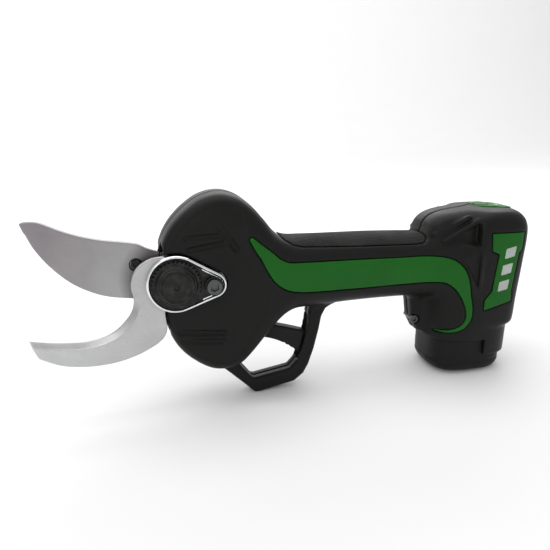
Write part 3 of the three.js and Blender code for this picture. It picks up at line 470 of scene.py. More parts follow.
def ground_steel(name, color, roughness, along=(18, 1, 1), relief=0.003):
    """Ground steel: long fine scratches, cloudy sheen and faint handling marks."""
    look = Look(name, color, roughness, 1.0, Anisotropic=0.45)
    scratches = look.noise(0.5, 4, along)
    clouds = look.noise(24, 2)
    look.tint(look.between(clouds, 0, 1), times(color, 0.92), times(color, 1.06))
    look.rough(scratches, roughness - 0.05, roughness + 0.07)
    look.bump(scratches, relief)
    look.bump(look.noise(5, 2), 0.006)
    return look.material


def blade_steel(name, pivot_shade, pivot_shade_span, tip, far, roughness, along):
    """Blade steel, darker round the pivot as painted shade where the blade runs under the cover plate and
    into the housing, with a cast that changes along the blade.
    """
    look = Look(name, tip, roughness, 1.0, Anisotropic=0.4)
    from_pivot = look.node("ShaderNodeVectorMath", operation="DISTANCE")
    from_pivot.inputs[1].default_value = pivot
    look.feed(from_pivot, 0, look.coordinates)
    distance = from_pivot.outputs["Value"]
    marks = look.noise(0.7, 4, along)
    blend = look.node("ShaderNodeMix", data_type="RGBA")
    blend.inputs[6].default_value = (*tip, 1)
    blend.inputs[7].default_value = (*far, 1)
    look.feed(blend, 0, look.between(distance, 0, 1, 0.035, 0.068))
    # Painted shade: the colour darkens towards the pivot, where the blade passes under the cover plate and
    # the housing.
    pivot_shade_mix = look.node("ShaderNodeMix", data_type="RGBA")
    pivot_shade_mix.inputs[6].default_value = (*pivot_shade, 1)
    look.feed(pivot_shade_mix, 7, blend.outputs[2])
    look.feed(pivot_shade_mix, 0, look.between(distance, 0, 1, *pivot_shade_span))
    cloud = look.node("ShaderNodeMix", data_type="RGBA", blend_type="MULTIPLY")
    cloud.inputs[0].default_value = 0.25
    look.feed(cloud, 6, pivot_shade_mix.outputs[2])
    look.feed(cloud, 7, look.between(look.noise(14, 3), 0.55, 1))
    look.feed(look.shader, "Base Color", cloud.outputs[2])
    look.rough(marks, roughness - 0.04, roughness + 0.06)
    look.bump(marks, 0.0016)
    look.bump(look.noise(8, 2), 0.012)
    return look.material


def plated(name, color, roughness):
    """Bright plating over a slightly wavy polished edge."""
    look = Look(name, color, roughness, 1.0)
    look.tint(look.noise(9, 2), times(color, 0.93), times(color, 1.05))
    look.rough(look.noise(2.2, 4), roughness - 0.03, roughness + 0.06)
    look.bump(look.noise(6, 2), 0.01)
    return look.material


def blackened(name, color, roughness):
    """Black oxide on steel: dark, oily, with rubbed spots that are a little brighter."""
    look = Look(name, color, roughness, 0.75)
    look.tint(look.between(look.noise(3.5, 5), 0, 1, 0.45, 0.75), times(color, 0.8), times(color, 1.9))
    look.rough(look.noise(1.2, 4), roughness - 0.08, roughness + 0.1)
    look.bump(look.noise(0.35, 3), 0.012)
    return look.material


def wrapped(name, color, roughness):
    """Smooth sleeve or lacquer with faint waves."""
    look = Look(name, color, roughness)
    look.tint(look.noise(6, 3), times(color, 0.85), times(color, 1.15))
    look.rough(look.noise(3, 3), roughness - 0.05, roughness + 0.08)
    look.bump(look.noise(2.4, 2), 0.02)
    return look.material


BLACK_PLASTIC = moulded("housing_plastic", (0.008, 0.0086, 0.0076), 0.42)
BATTERY_PLASTIC = moulded("battery_plastic", (0.0075, 0.008, 0.0074), 0.45, grain=0.6)
TRIGGER_PLASTIC = moulded("trigger_plastic", (0.0105, 0.011, 0.0102), 0.45)
GREEN_PLASTIC = moulded("green_plastic", (0.0085, 0.107, 0.0095), 0.42, grain=0.4, spread=0.1)
PALE_PRINT = moulded("pale_print", (0.42, 0.45, 0.42), 0.5, grain=0.3, relief=0.006)
GRIP = dotted_grip("grip_plastic", (0.012, 0.0125, 0.0115))
# The root colours are painted shade, darkening each blade round the pivot where it runs under the plate and
# the housing.
FIXED_STEEL = blade_steel(
    "fixed_blade_steel", pivot_shade=(0.2, 0.185, 0.19), pivot_shade_span=(0.0145, 0.0245), tip=(0.5, 0.5, 0.5),
    far=(0.56, 0.565, 0.565), roughness=0.3, along=(12, 1, 1.4),
)
MOVING_STEEL = blade_steel(
    "moving_blade_steel", pivot_shade=(0.1, 0.092, 0.095), pivot_shade_span=(0.024, 0.031), tip=(0.37, 0.365, 0.365),
    far=(0.31, 0.285, 0.3), roughness=0.31, along=(1.4, 1, 9),
)
CHROME = plated("chrome_rim", (0.82, 0.83, 0.85), 0.09)
BLACK_STEEL = blackened("black_steel", (0.022, 0.022, 0.021), 0.38)
GEAR_STEEL = ground_steel("gear_steel", (0.5, 0.5, 0.51), 0.32)
DARK_STEEL = plated("screw_steel", (0.1, 0.105, 0.105), 0.32)
ALLOY = ground_steel("alloy", (0.6, 0.6, 0.61), 0.42)
BRASS = plated("brass", (0.72, 0.53, 0.25), 0.25)
BOARD = wrapped("circuit_board", (0.02, 0.11, 0.045), 0.4)
CELL_WRAP = wrapped("cell_wrap", (0.06, 0.2, 0.42), 0.35)
LENS = wrapped("lens", (0.7, 0.85, 0.72), 0.2)

# ---------- driving dimensions, in millimetres ----------
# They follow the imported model. Outlines differ from it by a fraction of a millimetre where the
# sampled surface shows an edge that the model leaves plain.
GAP = 0.3
SEAM = 0.03  # half of the line between the shells
WALL = 2.4
INLAY = 1.4
BADGE_DEPTH = 0.7
PLATE = (-20.6, -17.8)
FIXED = (-17.5, -14.3)
MOVING = (-14.0, -10.8)
PIVOT_RADIUS = 5
EYE_RADIUS = 14.5
HUB_ROOM = EYE_RADIUS + 1.9
HUB_HALF_ROOM = 13.9
BUSH_RADIUS = 6.7
LOCK = (18.3, -1.5)
LOCK_RADIUS = 6.6
BLADE_SCREWS = ((-18.6, 9.6), (-17, -2.6))
SECTOR_END = -8.6
BOLT = {"end": -23.3, "seat": 12.9, "face": 15.2, "head": 8.4}
SWEEP = (108, 262)  # degrees round the pivot that the cutting blade can need
TRIGGER_ROOM = 4.2
TIP_ROOM = ((60, -27), (73.2, -27), (73.2, -33), (70.6, -50.5), (68.4, -53.4), (60, -53.4))
SCREW_BOSS = 3.8
SCREW_SEAT = {"radius": 2.9, "depth": 2.1}
SHELL_SCREWS = (
    (20, 35, 14.6), (22, -42, 15), (118, -14, 13), (150, 19.5, 12.4), (186, 14, 22), (135.6, -34.2, -6.4),
)
BATTERY = {"x": 167.5, "length": 22.4, "width": 20.6, "power": 3.2, "bottom": -64, "rim": -44, "top": 7}
SOCKET_TOP = 8.5
SOCKET_CEILING = 2.5
SKIRT_BOTTOM = -53.5
SKIRT_X = 172
RIM_X = 120
RIB = {"radius": 1.8, "y": 17.8, "wall": 1.2}
CAVITY_END = 139.5
BUTTON = (175, 0)
BUTTON_HOLE = 4.4
LIGHT = (184.5, 0)

# ---------- housing ----------
TOP = (
    (-8.5, 11.5), (-6.8, 17.8), (-4, 23.8), (0.3, 29.8), (6.5, 35.8), (14, 40.7), (23.4, 42.8), (32, 41),
    (39.5, 36), (46, 28.8), (52, 21.6), (58.5, 18.1), (68, 17.7), (110, 17.5), (164, 15),
)
BOTTOM = (
    (-8.5, -12), (-6.6, -20), (-4.2, -28.5), (0.7, -37.5), (8.5, -45.3), (17.5, -50.6), (26, -51.4),
    (33, -49), (39, -43.4), (47, -34.2), (55, -26), (62, -22.3), (72, -21.5), (112, -19.8), (164, -19.6),
)
WIDTH = (
    (-8.5, 13.5), (-4, 16.6), (4, 18), (36, 18), (66, 17), (128, 16.6), (140, 18.3), (150, 21.6), (157, 23.8),
    (164, 24),
)
POWER = ((-8.5, 5.6), (30, 5.6), (44, 4.6), (66, 2.7), (130, 2.6), (150, 3.2), (164, 3.4))
REAR = (
    (-36, 174.8, 17.8, 22.8, 3.4), (-33, 175, 18, 23.6, 3.8), (-20, 175.1, 18.2, 24, 4),
    (0, 175.8, 19, 24.4, 4), (16, 176.4, 19.4, 24.6, 4), (22.5, 176.4, 18.9, 24, 3.8),
    (26.8, 176.2, 17, 22, 3.4), (29.4, 175.6, 13.4, 18, 3), (30.4, 175, 8, 12, 2.6),
)
SOCKET = (
    (-54.5, 167.7, 24, 22.4, 3.1), (-44, 167.7, 24.3, 22.9, 3), (-18, 167.6, 24.9, 23.4, 3),
    (-9, 169, 23.4, 22, 3), (-3, 171.5, 19, 18, 3),
)
NOSE = (
    (138, 6, 18, 12.4, 3), (139.6, 4, 22.4, 13.8, 3.4), (142.5, 3, 25.4, 15, 3.7), (147.5, 2, 27.6, 16, 3.9),
    (155, 1, 29, 17, 4), (166, 0, 30.2, 18.4, 4),
)
WEB = ((133, -15), (133, -24.5), (134.4, -34.6), (138, -41.4), (148, -43.6), (148, -15))
GUARD = (
    (22, -47), (21.8, -52.2), (28.3, -58.2), (35.5, -65), (40.6, -70.1), (41.9, -70.9), (44.5, -70.7),
    (64.3, -66.4), (69.6, -62.2), (72.6, -56.7), (75.6, -47.7), (78.4, -36), (79.8, -28.3), (82, -24),
    (86, -21), (86, -15), (66, -15), (72.2, -21), (72.4, -23), (70.3, -35.8), (66.4, -50.2),
    (64.9, -54.6), (61.6, -58.2),
    (41.7, -61.9), (40, -61.4), (31.8, -51), (32, -45),
)
STRIPE = spline((
    (38.2, 20, 1.2), (42.3, 15, 2.4), (46.4, 10.4, 3.4), (51, 4.6, 4.9), (57, 0, 6.8), (66, -1.7, 8),
    (90, -2, 8), (120, -1.8, 7.6), (142, -1.6, 7.2), (149, -3.6, 6.3), (153.8, -9, 4.4), (157.3, -16.4, 2.8),
    (159.8, -24.5, 2), (159.8, -30.8, 1.6), (156.6, -35.4, 1.3), (151, -37.9, 0.9), (145.5, -38.7, 0.5),
), 4)
BADGE = (
    (168.6, 18.4), (188.6, 18.4), (188, 8.4), (186.2, 7), (184.4, -14), (185, -21), (168, -25.4),
    (168, -19.4), (172, -14.5), (174, 6.6), (169.6, 8.6),
)
PAD = (
    (50, 34), (51.2, 23.6), (53.6, 20.6), (57, 17.2), (61, 15), (66, 13.8), (90, 12.8), (130, 12.1),
    (134.5, 12.6), (137, 14.6), (137.4, 17), (137.4, 34),
)
PANEL = (181, 12.2, 9.8)
FACE = (
    (-3, 16), (-0.5, 22.5), (4, 28.5), (10, 33.8), (17, 37.6), (24, 38.8), (30, 37.4), (34.6, 33.8), (36, 28),
    (35, 19), (38.5, 9), (44, 0), (47, -8), (46, -16), (41, -27), (36, -38), (31, -44.6), (25, -46.6),
    (18, -45.6), (10, -41), (3.5, -34), (0, -26), (-3, -14),
)
FACE_DEPTH = 0.6
WEB_HALF_WIDTH = 7
GUARD_HALF_WIDTH = 5.5
RIDGE_RADIUS = 1.4
SHELL_BLEND = 3.5  # fillet between the handle and the pod
SCOOP = (
    (141, 11.8), (150, 17.2), (161.5, 24.2), (163.2, 23.4), (163.4, -12), (160.4, -6), (157, 0), (151.5, 4.8),
    (146, 7.6), (141, 8.8),
)
SCOOP_WIDTH = 18.2
SCOOP_END = 166
RIDGES = (
    ((140.4, 13.8, 17), (158, 16.6, 26.2)), ((144.5, 16.6, 13.8), (162.2, 19.2, 24.4)),
)
RIM_WIDTH = 1.3
RIBS = (
    ((6, 21.7), (24.7, 22.8)), ((7.4, 16), (24.6, 18.8)), ((22.8, 26.4), (30.5, 15.4)),
    ((1, -26.5), (23, -28.4)), ((2.5, -31.5), (22.5, -33)),
)


def tear_drop(g):
    """Flat outline of the cover plate: two circles and their common tangents."""
    span = math.hypot(*LOCK)
    along = (g.x * LOCK[0] + g.z * LOCK[1]) / span
    across = np.abs(g.z * LOCK[0] - g.x * LOCK[1]) / span
    lean_in = (EYE_RADIUS - LOCK_RADIUS) / span
    level = math.sqrt(1 - lean_in ** 2)
    beside = level * along - lean_in * across
    flat = level * across + lean_in * along - EYE_RADIUS
    flat = np.where(beside < 0, np.hypot(along, across) - EYE_RADIUS, flat)
    return np.where(beside > level * span, np.hypot(along - span, across) - LOCK_RADIUS, flat)


HOOK_OUTER = spline((
    (-6, -16), (-5.6, -24.5), (-9.6, -30.4), (-19.7, -35.9), (-29.7, -39), (-39.5, -40.2), (-49.5, -39.9),
    (-58.5, -38), (-67.2, -33.8),
), 5)
HOOK_INNER = spline((
    (-71, -24.8), (-61.8, -26.4), (-52.6, -27.3), (-43.2, -27.3), (-33.5, -24.7), (-26.6, -19.4), (-22, -13),
    (-20.9, -6.5), (-21.8, -2),
), 5)
EYE_FRONT = spline(((-21.8, 1), (-20.9, 4.9), (-18.9, 8.6), (-15.6, 11.4), (-11, 13.4), (-5, 13.8)), 4)
HOOK = np.vstack([HOOK_OUTER, HOOK_INNER, EYE_FRONT])


def handle_form(g):
    bottom, top, half_width, power = (line(profile)(g.x) for profile in (BOTTOM, TOP, WIDTH, POWER))
    form = gauge(g.y, half_width, g.z - (bottom + top) / 2, (top - bottom) / 2, power)
    form = meet(form, -8.5 - g.x, 2.5)
    return meet(form, g.x - 164, 1)


def pod_form(g):
    rear = meet(loft_z(g, REAR), g.z - 30.4, 2.5)
    rear = meet(rear, -36 - g.z, 1.6)
    socket = meet(loft_z(g, SOCKET), g.z + 3, 2)
    nose = meet(loft_x(g, NOSE), 138 - g.x, 1.5)
    nose = meet(nose, g.x - 168, 1)
    return join(join(rear, socket, 2), nose, 3)


def housing_form(g):
    """The outside of both shells, with web and guard, before ribs and pockets are cut."""
    form = even(join(handle_form(g), pod_form(g), SHELL_BLEND), g.cell)
    scoop = outline(g, SCOOP)
    depth = SCOOP_WIDTH + 4.6 * ramp(SOCKET_TOP + 5 - g.z, 3.5)
    form = cut(form, np.maximum(scoop, depth - np.abs(g.y)), 1)
    for a, b in RIDGES:
        form = join(form, rod(g, a, b) - RIDGE_RADIUS, 1)
    form = form + FACE_DEPTH * ramp(-outline(g, FACE), 1.2) * ramp(np.abs(g.y) - 14, 2)
    web = slab(g, outline(g, WEB), -WEB_HALF_WIDTH, WEB_HALF_WIDTH, 3.4)
    guard = slab(g, outline(g, GUARD), -GUARD_HALF_WIDTH, GUARD_HALF_WIDTH, 2.2)
    return join(join(form, web, 6), guard, 3)


def rib_stroke(g, a, b):
    """Distance to one of the grooves that are pressed into the head's flat sides."""
    return np.sqrt(groove(g, a, b) ** 2 + (np.abs(g.y) - RIB["y"]) ** 2) - RIB["radius"]


def housing_hollow(g, skin):
    """The room inside the shells, with a boss left round each screw and a wall behind each groove."""
    hollow = skin + WALL
    for a, b in RIBS:
        hollow = cut(hollow, rib_stroke(g, a, b) - RIB["wall"])
    hollow = np.maximum(hollow, np.minimum(g.x - CAVITY_END, SOCKET_TOP + SOCKET_CEILING - g.z))
    hollow = np.maximum(hollow, np.minimum(SCOOP_END - g.x, np.abs(g.y) - SCOOP_WIDTH + WALL))
    for x, z, _ in SHELL_SCREWS:
        hollow = cut(hollow, around(g, x, z) - SCREW_BOSS)
    socket = gauge(g.x - BATTERY["x"], BATTERY["length"] + 0.4, g.y, BATTERY["width"] + 0.4, BATTERY["power"])
    hollow = np.minimum(hollow, np.maximum(socket, g.z - SOCKET_TOP))
    return np.minimum(hollow, np.maximum(around(g) - HUB_ROOM, np.abs(g.y + 1) - HUB_HALF_ROOM))


def cut_blade_rooms(g, shell):
    """Seats for the fixed blade and the cover plate, and the sector that the cutting blade sweeps."""
    for flat in (outline(g, HOOK), tear_drop(g)):
        shell = cut(shell, slab(g, flat - 0.35, PLATE[0] - 4, MOVING[0]), 0.2)
    angle = np.arctan2(g.z, g.x) % (2 * math.pi)
    sweep = np.maximum(math.radians(SWEEP[0]) - angle, angle - math.radians(SWEEP[1])) * 12
    return cut(shell, np.maximum(sweep, np.abs(g.y + 10.65) - 3.95), 0.3)


def cut_trigger_rooms(g, shell):
    """A slot for the trigger's arm in the handle and one for its tip in the guard's rear post."""
    shell = cut(shell, box(g, (36.5, -TRIGGER_ROOM, -45), (61, TRIGGER_ROOM, -24)))
    return cut(shell, slab(g, outline(g, TIP_ROOM), -TRIGGER_ROOM, TRIGGER_ROOM), 0.3)


def cut_rim(g, shell):
    """The pod's open underside: higher in front, lower in the skirt behind."""
    shell = cut(shell, box(g, (RIM_X, -30, -80), (SKIRT_X, 30, BATTERY["rim"])), 0.3)
    return cut(shell, box(g, (RIM_X, -30, -80), (210, 30, SKIRT_BOTTOM)), 0.8)


def cut_screw_seats(g, shell, side):
    for x, z, head in SHELL_SCREWS:
        outwards = math.copysign(1, head)
        floor = abs(head) - SCREW_SEAT["depth"] - outwards * g.y
        shell = cut(shell, np.maximum(around(g, x, z) - SCREW_SEAT["radius"], floor), 0.4)
    if side > 0:
        shell = cut(shell, np.maximum(around(g) - BOLT["head"] - GAP, BOLT["seat"] - 1 - g.y), 0.4)
    return shell


def cut_inlay_pockets(g, shell, skin):
    """Pockets for the stripe, grip pad, badge and panel, and holes for the button and the light."""
    shell = cut(shell, np.maximum(band(g, STRIPE) - 0.25, -(skin + INLAY + GAP)), 0.5)
    shell = cut(shell, np.maximum(outline(g, PAD) - 0.25, -(handle_form(g) + INLAY + GAP)), 0.4)
    shell = cut(shell, np.maximum(outline(g, BADGE) - 0.25, -(skin + BADGE_DEPTH + GAP)), 0.4)
    panel = np.maximum(gauge(g.x - PANEL[0], PANEL[1] + 0.3, g.y, PANEL[2] + 0.3, 2.2), 20 - g.z)
    shell = cut(shell, np.maximum(panel, -(skin + INLAY + GAP)), 0.4)
    shell = cut(shell, np.maximum(upright(g, *BUTTON) - BUTTON_HOLE, 12 - g.z))
    return cut(shell, np.maximum(upright(g, *LIGHT) - 1.9, 12 - g.z))


def housing(g, side):
    """One shell. side is -1 for the left shell, on the fixed blade's side, and 1 for the right."""
    skin = even(join(handle_form(g), pod_form(g), SHELL_BLEND), g.cell)
    shell = housing_form(g)
    for a, b in RIBS:
        shell = cut(shell, rib_stroke(g, a, b), 0.5)
    shell = cut(shell, housing_hollow(g, skin))
    shell = cut_blade_rooms(g, shell)
    shell = cut_trigger_rooms(g, shell)
    shell = cut_rim(g, shell)
    shell = cut_screw_seats(g, shell, side)
    shell = cut_inlay_pockets(g, shell, skin)
    return meet(shell, SEAM - side * g.y, 1.2)


def inlay(flat, skin, thickness, proud=0.1):
    """A piece that lies in the skin under a flat outline, standing a touch proud of it."""
    sheet = np.maximum(skin - proud, -(skin + thickness))
    return meet(sheet, flat, 0.7)


SIDES = {"left": -1, "right": 1}
CELL = 0.7


def make_housing():
    for name, side in SIDES.items():
        low_y, high_y = sorted((-0.8 * side, 26.4 * side))
        grid = Grid((-10.5, low_y, -73), (198.5, high_y, 44.8), CELL)
        piece(f"{name}_shell_body", grid, housing(grid, side), BLACK_PLASTIC, "housing", "housing_plastic",
              f"{name}_shell")


def make_inlays():
    for name, side in SIDES.items():
        low_y, high_y = sorted((2.0 * side, 26.4 * side))
        grid = Grid((34, low_y, -42), (166, high_y, 26), 0.55)
        skin = even(join(handle_form(grid), pod_form(grid), SHELL_BLEND), grid.cell)
        stripe = inlay(band(grid, STRIPE), skin, INLAY)
        piece(f"{name}_stripe_band", grid, stripe, GREEN_PLASTIC, "housing", "green_plastic",
              f"{name}_stripe")
        grid = Grid((166, low_y, -28), (191, high_y, 21), 0.4)
        skin = even(pod_form(grid), grid.cell)
        badge = inlay(outline(grid, BADGE), skin, BADGE_DEPTH, 0.25)
        piece(f"{name}_badge_plate", grid, badge, GREEN_PLASTIC, "housing", "green_plastic", f"{name}_badge")
        bars = np.minimum.reduce([
            outline(grid, ((x, z), (x + 5.4, z + 1.2), (x + 5.9, z + 6.2), (x + 0.5, z + 5))) - 0.4
            for x, z in ((175.6, -14.4), (176.6, -5), (177.6, 4.4))
        ])
        print_bars = meet(np.maximum(skin - 0.5, -(skin + 0.5)), bars, 0.3)
        piece(f"{name}_badge_bars", grid, print_bars, PALE_PRINT, "housing", "green_plastic")
    grid = Grid((48, -19, 8), (140, 19, 28), 0.55)
    pad = inlay(outline(grid, PAD), even(handle_form(grid), grid.cell), INLAY)
    piece("top_grip", grid, pad, GRIP, "housing", "grip_plastic", "top_grip_pad")
    grid = Grid((162, -12, 20), (194, 12, 32.5), 0.35)
    oval = gauge(grid.x - PANEL[0], PANEL[1], grid.y, PANEL[2], 2.2)
    oval = cut(cut(oval, upright(grid, *BUTTON) - BUTTON_HOLE, 0.5), upright(grid, *LIGHT) - 1.8, 0.4)
    skin = even(pod_form(grid), grid.cell)
    piece("panel_oval", grid, inlay(oval, skin, INLAY, 0.5), GREEN_PLASTIC, "housing", "green_plastic",
          "control_panel")


# ---------- blades, cover plate, nut and screws ----------


def bores(g, flat, *holes):
    for x, z, radius in holes:
        flat = cut(flat, around(g, x, z) - radius)
    return flat


def make_fixed_blade():
    grid = Grid((-73, -18.1, -42), (26.5, -13.7, 16), 0.3)
    flat = join(outline(grid, HOOK), tear_drop(grid) + 0.4, 1)
    flat = bores(grid, flat, (0, 0, PIVOT_RADIUS + GAP), (*LOCK, 2.1))
    blade = chamfered(grid, flat, *FIXED, 0.35)
    edge_path = np.hstack([HOOK_INNER[:-6], np.zeros((len(HOOK_INNER) - 6, 1))])
    from_edge = band(grid, edge_path)
    ground = (FIXED[0] + 0.62 * np.maximum(3.1 - from_edge, 0) - grid.y) * 0.85
    piece("hooked_blade", grid, meet(blade, ground), FIXED_STEEL, "housing", "blade_steel", "fixed_blade")


BLADE_SPINE = spline((
    (-69.4, 31.8), (-67.6, 32.6), (-64, 32.6), (-60, 31.6), (-52, 27.9), (-43.6, 24.9), (-34.6, 22.7),
    (-25.4, 21.3), (-18, 20), (-13, 17.4), (-7, 15.2),
), 5)
BLADE_EDGE = spline((
    (-9, -12.6), (-15, -9.2), (-21.7, -7.6), (-32.2, -6), (-41.4, -2.7), (-50.2, 2.7), (-58.5, 11),
    (-64.3, 19.4), (-67.8, 27.2),
), 5)


def make_moving_blade():
    grid = Grid((-71.5, -14.6, -15.5), (15.5, -10.2, 34), 0.3)
    flat = join(outline(grid, np.vstack([BLADE_SPINE, BLADE_EDGE])), around(grid) - EYE_RADIUS + 0.4, 1)
    flat = bores(grid, flat, (0, 0, BUSH_RADIUS + GAP), *((x, z, 1.9) for x, z in BLADE_SCREWS))
    blade = chamfered(grid, flat, *MOVING, 0.3)
    edge_path = np.hstack([BLADE_EDGE[8:], np.zeros((len(BLADE_EDGE) - 8, 1))])
    from_edge = band(grid, edge_path)
    ground = (grid.y - MOVING[1] + 0.3 * np.maximum(9 - from_edge, 0)) * 0.95
    blade = meet(blade, ground)
    honed = (MOVING[0] + 0.45 * np.maximum(0.9 - from_edge, 0) - grid.y) * 0.9
    blade = meet(blade, honed)
    for x, z in BLADE_SCREWS:
        blade = cut(blade, np.maximum(around(grid, x, z) - 3.3, grid.y - MOVING[0] - 1.7))
    piece("cutting_blade", grid, blade, MOVING_STEEL, "cutter", "blade_steel", "moving_blade")


def make_cover_plate():
    """Black plate in a bright raised rim, with a second bright step inside the rim's small end."""
    grid = Grid((-16.5, -21.4, -16.5), (27.5, -17, 16.5), 0.25)
    flat = tear_drop(grid)
    drop = bores(grid, flat, (0, 0, PIVOT_RADIUS + GAP), (*LOCK, 2.1))
    plate = chamfered(grid, drop, *PLATE, 0.6)
    rim = cut(plate, np.maximum(flat + RIM_WIDTH, grid.y - PLATE[0] - 1.6), 0.15)
    ridge = np.hypot(flat + 2.1, grid.y - PLATE[0] - 0.9) - 0.42
    rim = np.minimum(rim, np.maximum(ridge, 12.5 - grid.x))
    piece("bright_rim", grid, rim, CHROME, "housing", "chrome_rim", "cover_plate")
    sheet = slab(grid, drop + RIM_WIDTH + 0.1, PLATE[0] + 0.8, PLATE[0] + 1.5, 0.2)
    piece("plate_face", grid, sheet, BLACK_STEEL, "housing", "black_steel")


NUT = {"base": -20.4, "flange": -22.4, "shoulder": -24.5, "face": -25.6, "teeth": 36, "radius": 12}


def make_nut():
    grid = Grid((-13.5, -26.4, -13.5), (13.5, -19.8, 13.5), 0.22)
    radius = around(grid)
    angle = np.arctan2(grid.z, grid.x)
    wave = np.cos(NUT["teeth"] * angle)
    notched = radius - NUT["radius"] - 0.5 * np.clip(2 * wave, -1, 0.4)
    flange = meet(notched, np.maximum(NUT["flange"] - grid.y, grid.y - NUT["base"]), 0.35)
    cone = meet(radius - 9.6 - 0.35 * (grid.y - NUT["shoulder"]), NUT["shoulder"] - grid.y, 0.5)
    cone = np.maximum(cone, grid.y - NUT["base"])
    cap = meet(radius - 8.7, NUT["face"] - grid.y, 0.9)
    cap = np.maximum(cap, grid.y - NUT["flange"])
    nut = join(join(flange, cone, 0.3), cap, 0.5)
    ring = np.sqrt((radius - 7.3) ** 2 + (grid.y - NUT["face"]) ** 2) - 0.35
    nut = cut(nut, ring, 0.2)
    nut = cut(nut, np.maximum(radius - 1.4, grid.y - NUT["face"] - 0.9), 0.3)
    nut = cut(nut, np.maximum(radius - PIVOT_RADIUS - GAP, NUT["shoulder"] + 0.8 - grid.y))
    piece("serrated_nut", grid, nut, BLACK_STEEL, "housing", "black_steel", "pivot_nut")


def make_lock():
    """The cover plate's small end: a thin serrated washer under a steel cap screw."""
    grid = Grid((11, -25.2, -9), (25.5, -19.9, 6), 0.18)
    radius = around(grid, *LOCK)
    angle = np.arctan2(grid.z - LOCK[1], grid.x - LOCK[0])
    notched = radius - 4.7 - 0.2 * np.clip(3 * np.cos(18 * angle), -1, 1)
    disc = meet(notched, np.abs(grid.y + 21.3) - 0.6, 0.25)
    disc = cut(disc, radius - 2.1)
    piece("lock_washer", grid, disc, BLACK_STEEL, "housing", "black_steel", "lock_disc")
    grid = Grid((13, -25.4, -7), (23.6, -14.6, 4), 0.18)
    radius = around(grid, *LOCK)
    head = meet(radius - 3.9, np.abs(grid.y + 23) - 1.2, 0.7)
    screw = np.minimum(head, np.maximum(radius - 1.8, np.abs(grid.y + 19) - 3.6))
    screw = cut(screw, np.maximum(hexagon(grid, *LOCK, 1.9), grid.y + 22.4), 0.2)
    piece("lock_cap_screw", grid, screw, DARK_STEEL, "housing", "gear_steel", "lock_screw")


def make_bolt():
    """The pivot's bolt, with its head on the right side of the tool."""
    grid = Grid((-9.4, -24.2, -9.4), (9.4, 16, 9.4), 0.3)
    radius = around(grid)
    head = meet(radius - BOLT["head"], np.abs(grid.y - (BOLT["seat"] + BOLT["face"]) / 2) - 1.15, 0.8)
    dish = np.hypot(radius - 6, grid.y - BOLT["face"]) - 0.5
    shank = np.maximum(radius - PIVOT_RADIUS, np.maximum(BOLT["end"] - grid.y, grid.y - BOLT["seat"] - 1))
    bolt = cut(np.minimum(head, shank), dish, 0.3)
    bolt = cut(bolt, np.maximum(hexagon(grid, 0, 0, 3), BOLT["face"] - 1.6 - grid.y), 0.25)
    piece("turning_bolt", grid, bolt, DARK_STEEL, "housing", "gear_steel", "pivot_bolt")


def hexagon(g, x, z, half_flat):
    """Distance to a six-sided socket's walls."""
    u, v = g.x - x, g.z - z
    sides = [np.abs(u * math.cos(a) + v * math.sin(a)) for a in (0, math.pi / 3, 2 * math.pi / 3)]
    return np.maximum(np.maximum(sides[0], sides[1]), sides[2]) - half_flat


def cap_screw(name, x, z, head, depth, shank, tip, finish, body, *nodes):
    """Button-head screw along Y with a six-sided socket. head is the y of its face."""
    outwards = math.copysign(1, head)
    reach = sorted((head + 0.6 * outwards, tip))
    grid = Grid((x - 4, reach[0], z - 4), (x + 4, reach[1] + 0.6, z + 4), 0.22)
    radius = around(grid, x, z)
    below = (head - grid.y) * outwards
    top = meet(radius - 2.5, np.abs(below - depth / 2) - depth / 2, 0.7)
    stem = np.maximum(radius - shank, np.maximum(0.5 - below, (tip - grid.y) * outwards))
    screw = np.minimum(top, stem)
    screw = cut(screw, np.maximum(hexagon(grid, x, z, 1.25), below - 1.3), 0.12)
    piece(name, grid, screw, finish, body, "black_steel", *nodes)


def make_screws():
    for number, (x, z, head) in enumerate(SHELL_SCREWS, 1):
        tip = -5.5 * math.copysign(1, head)
        cap_screw(f"cover_screw_{number}", x, z, head, 1.8, 1.4, tip, DARK_STEEL, "housing",
                  f"shell_screw_{number}")
    for number, (x, z) in enumerate(BLADE_SCREWS, 1):
        cap_screw(f"cutter_screw_{number}", x, z, MOVING[0] + 0.1, 1.4, 1.6, SECTOR_END, BLACK_STEEL,
                  "cutter", f"blade_screw_{number}")

# ---------- trigger, battery and panel pieces ----------
TRIGGER = np.vstack([
    spline(((45.5, -26.8), (51.7, -31), (62.2, -34.2), (70.6, -36.8)), 4),
    spline(((67.6, -50), (62.6, -46), (56.4, -42), (50.6, -39.6), (44.5, -38)), 4),
    [(40, -35)],
])
TRIGGER_PIN = (41.5, -32)


def make_trigger():
    grid = Grid((32.5, -4.2, -51.5), (72, 4.2, -25.5), 0.4)
    lever = slab(grid, outline(grid, TRIGGER), -3.5, 3.5, 1.3)
    eye = slab(grid, around(grid, *TRIGGER_PIN) - 5, -3.5, 3.5, 0.6)
    arm = box(grid, (33.4, -2.4, -34.6), (42, 2.4, -31.4))
    lever = join(join(lever, eye, 1.5), arm, 0.8)
    lever = cut(lever, around(grid, *TRIGGER_PIN) - 1.8, 0.2)
    for x, z in ((58.5, -41.9), (61, -43.6), (63.5, -45.5)):
        grip = np.sqrt((grid.x - x) ** 2 + (grid.z - z + 1.6) ** 2) - 0.7
        lever = cut(lever, grip, 0.5)
    piece("finger_trigger", grid, lever, TRIGGER_PLASTIC, "trigger", "housing_plastic", "trigger_lever")


def pack_form(g, inset, power):
    return gauge(g.x - BATTERY["x"], BATTERY["length"] - inset, g.y, BATTERY["width"] - inset, power)


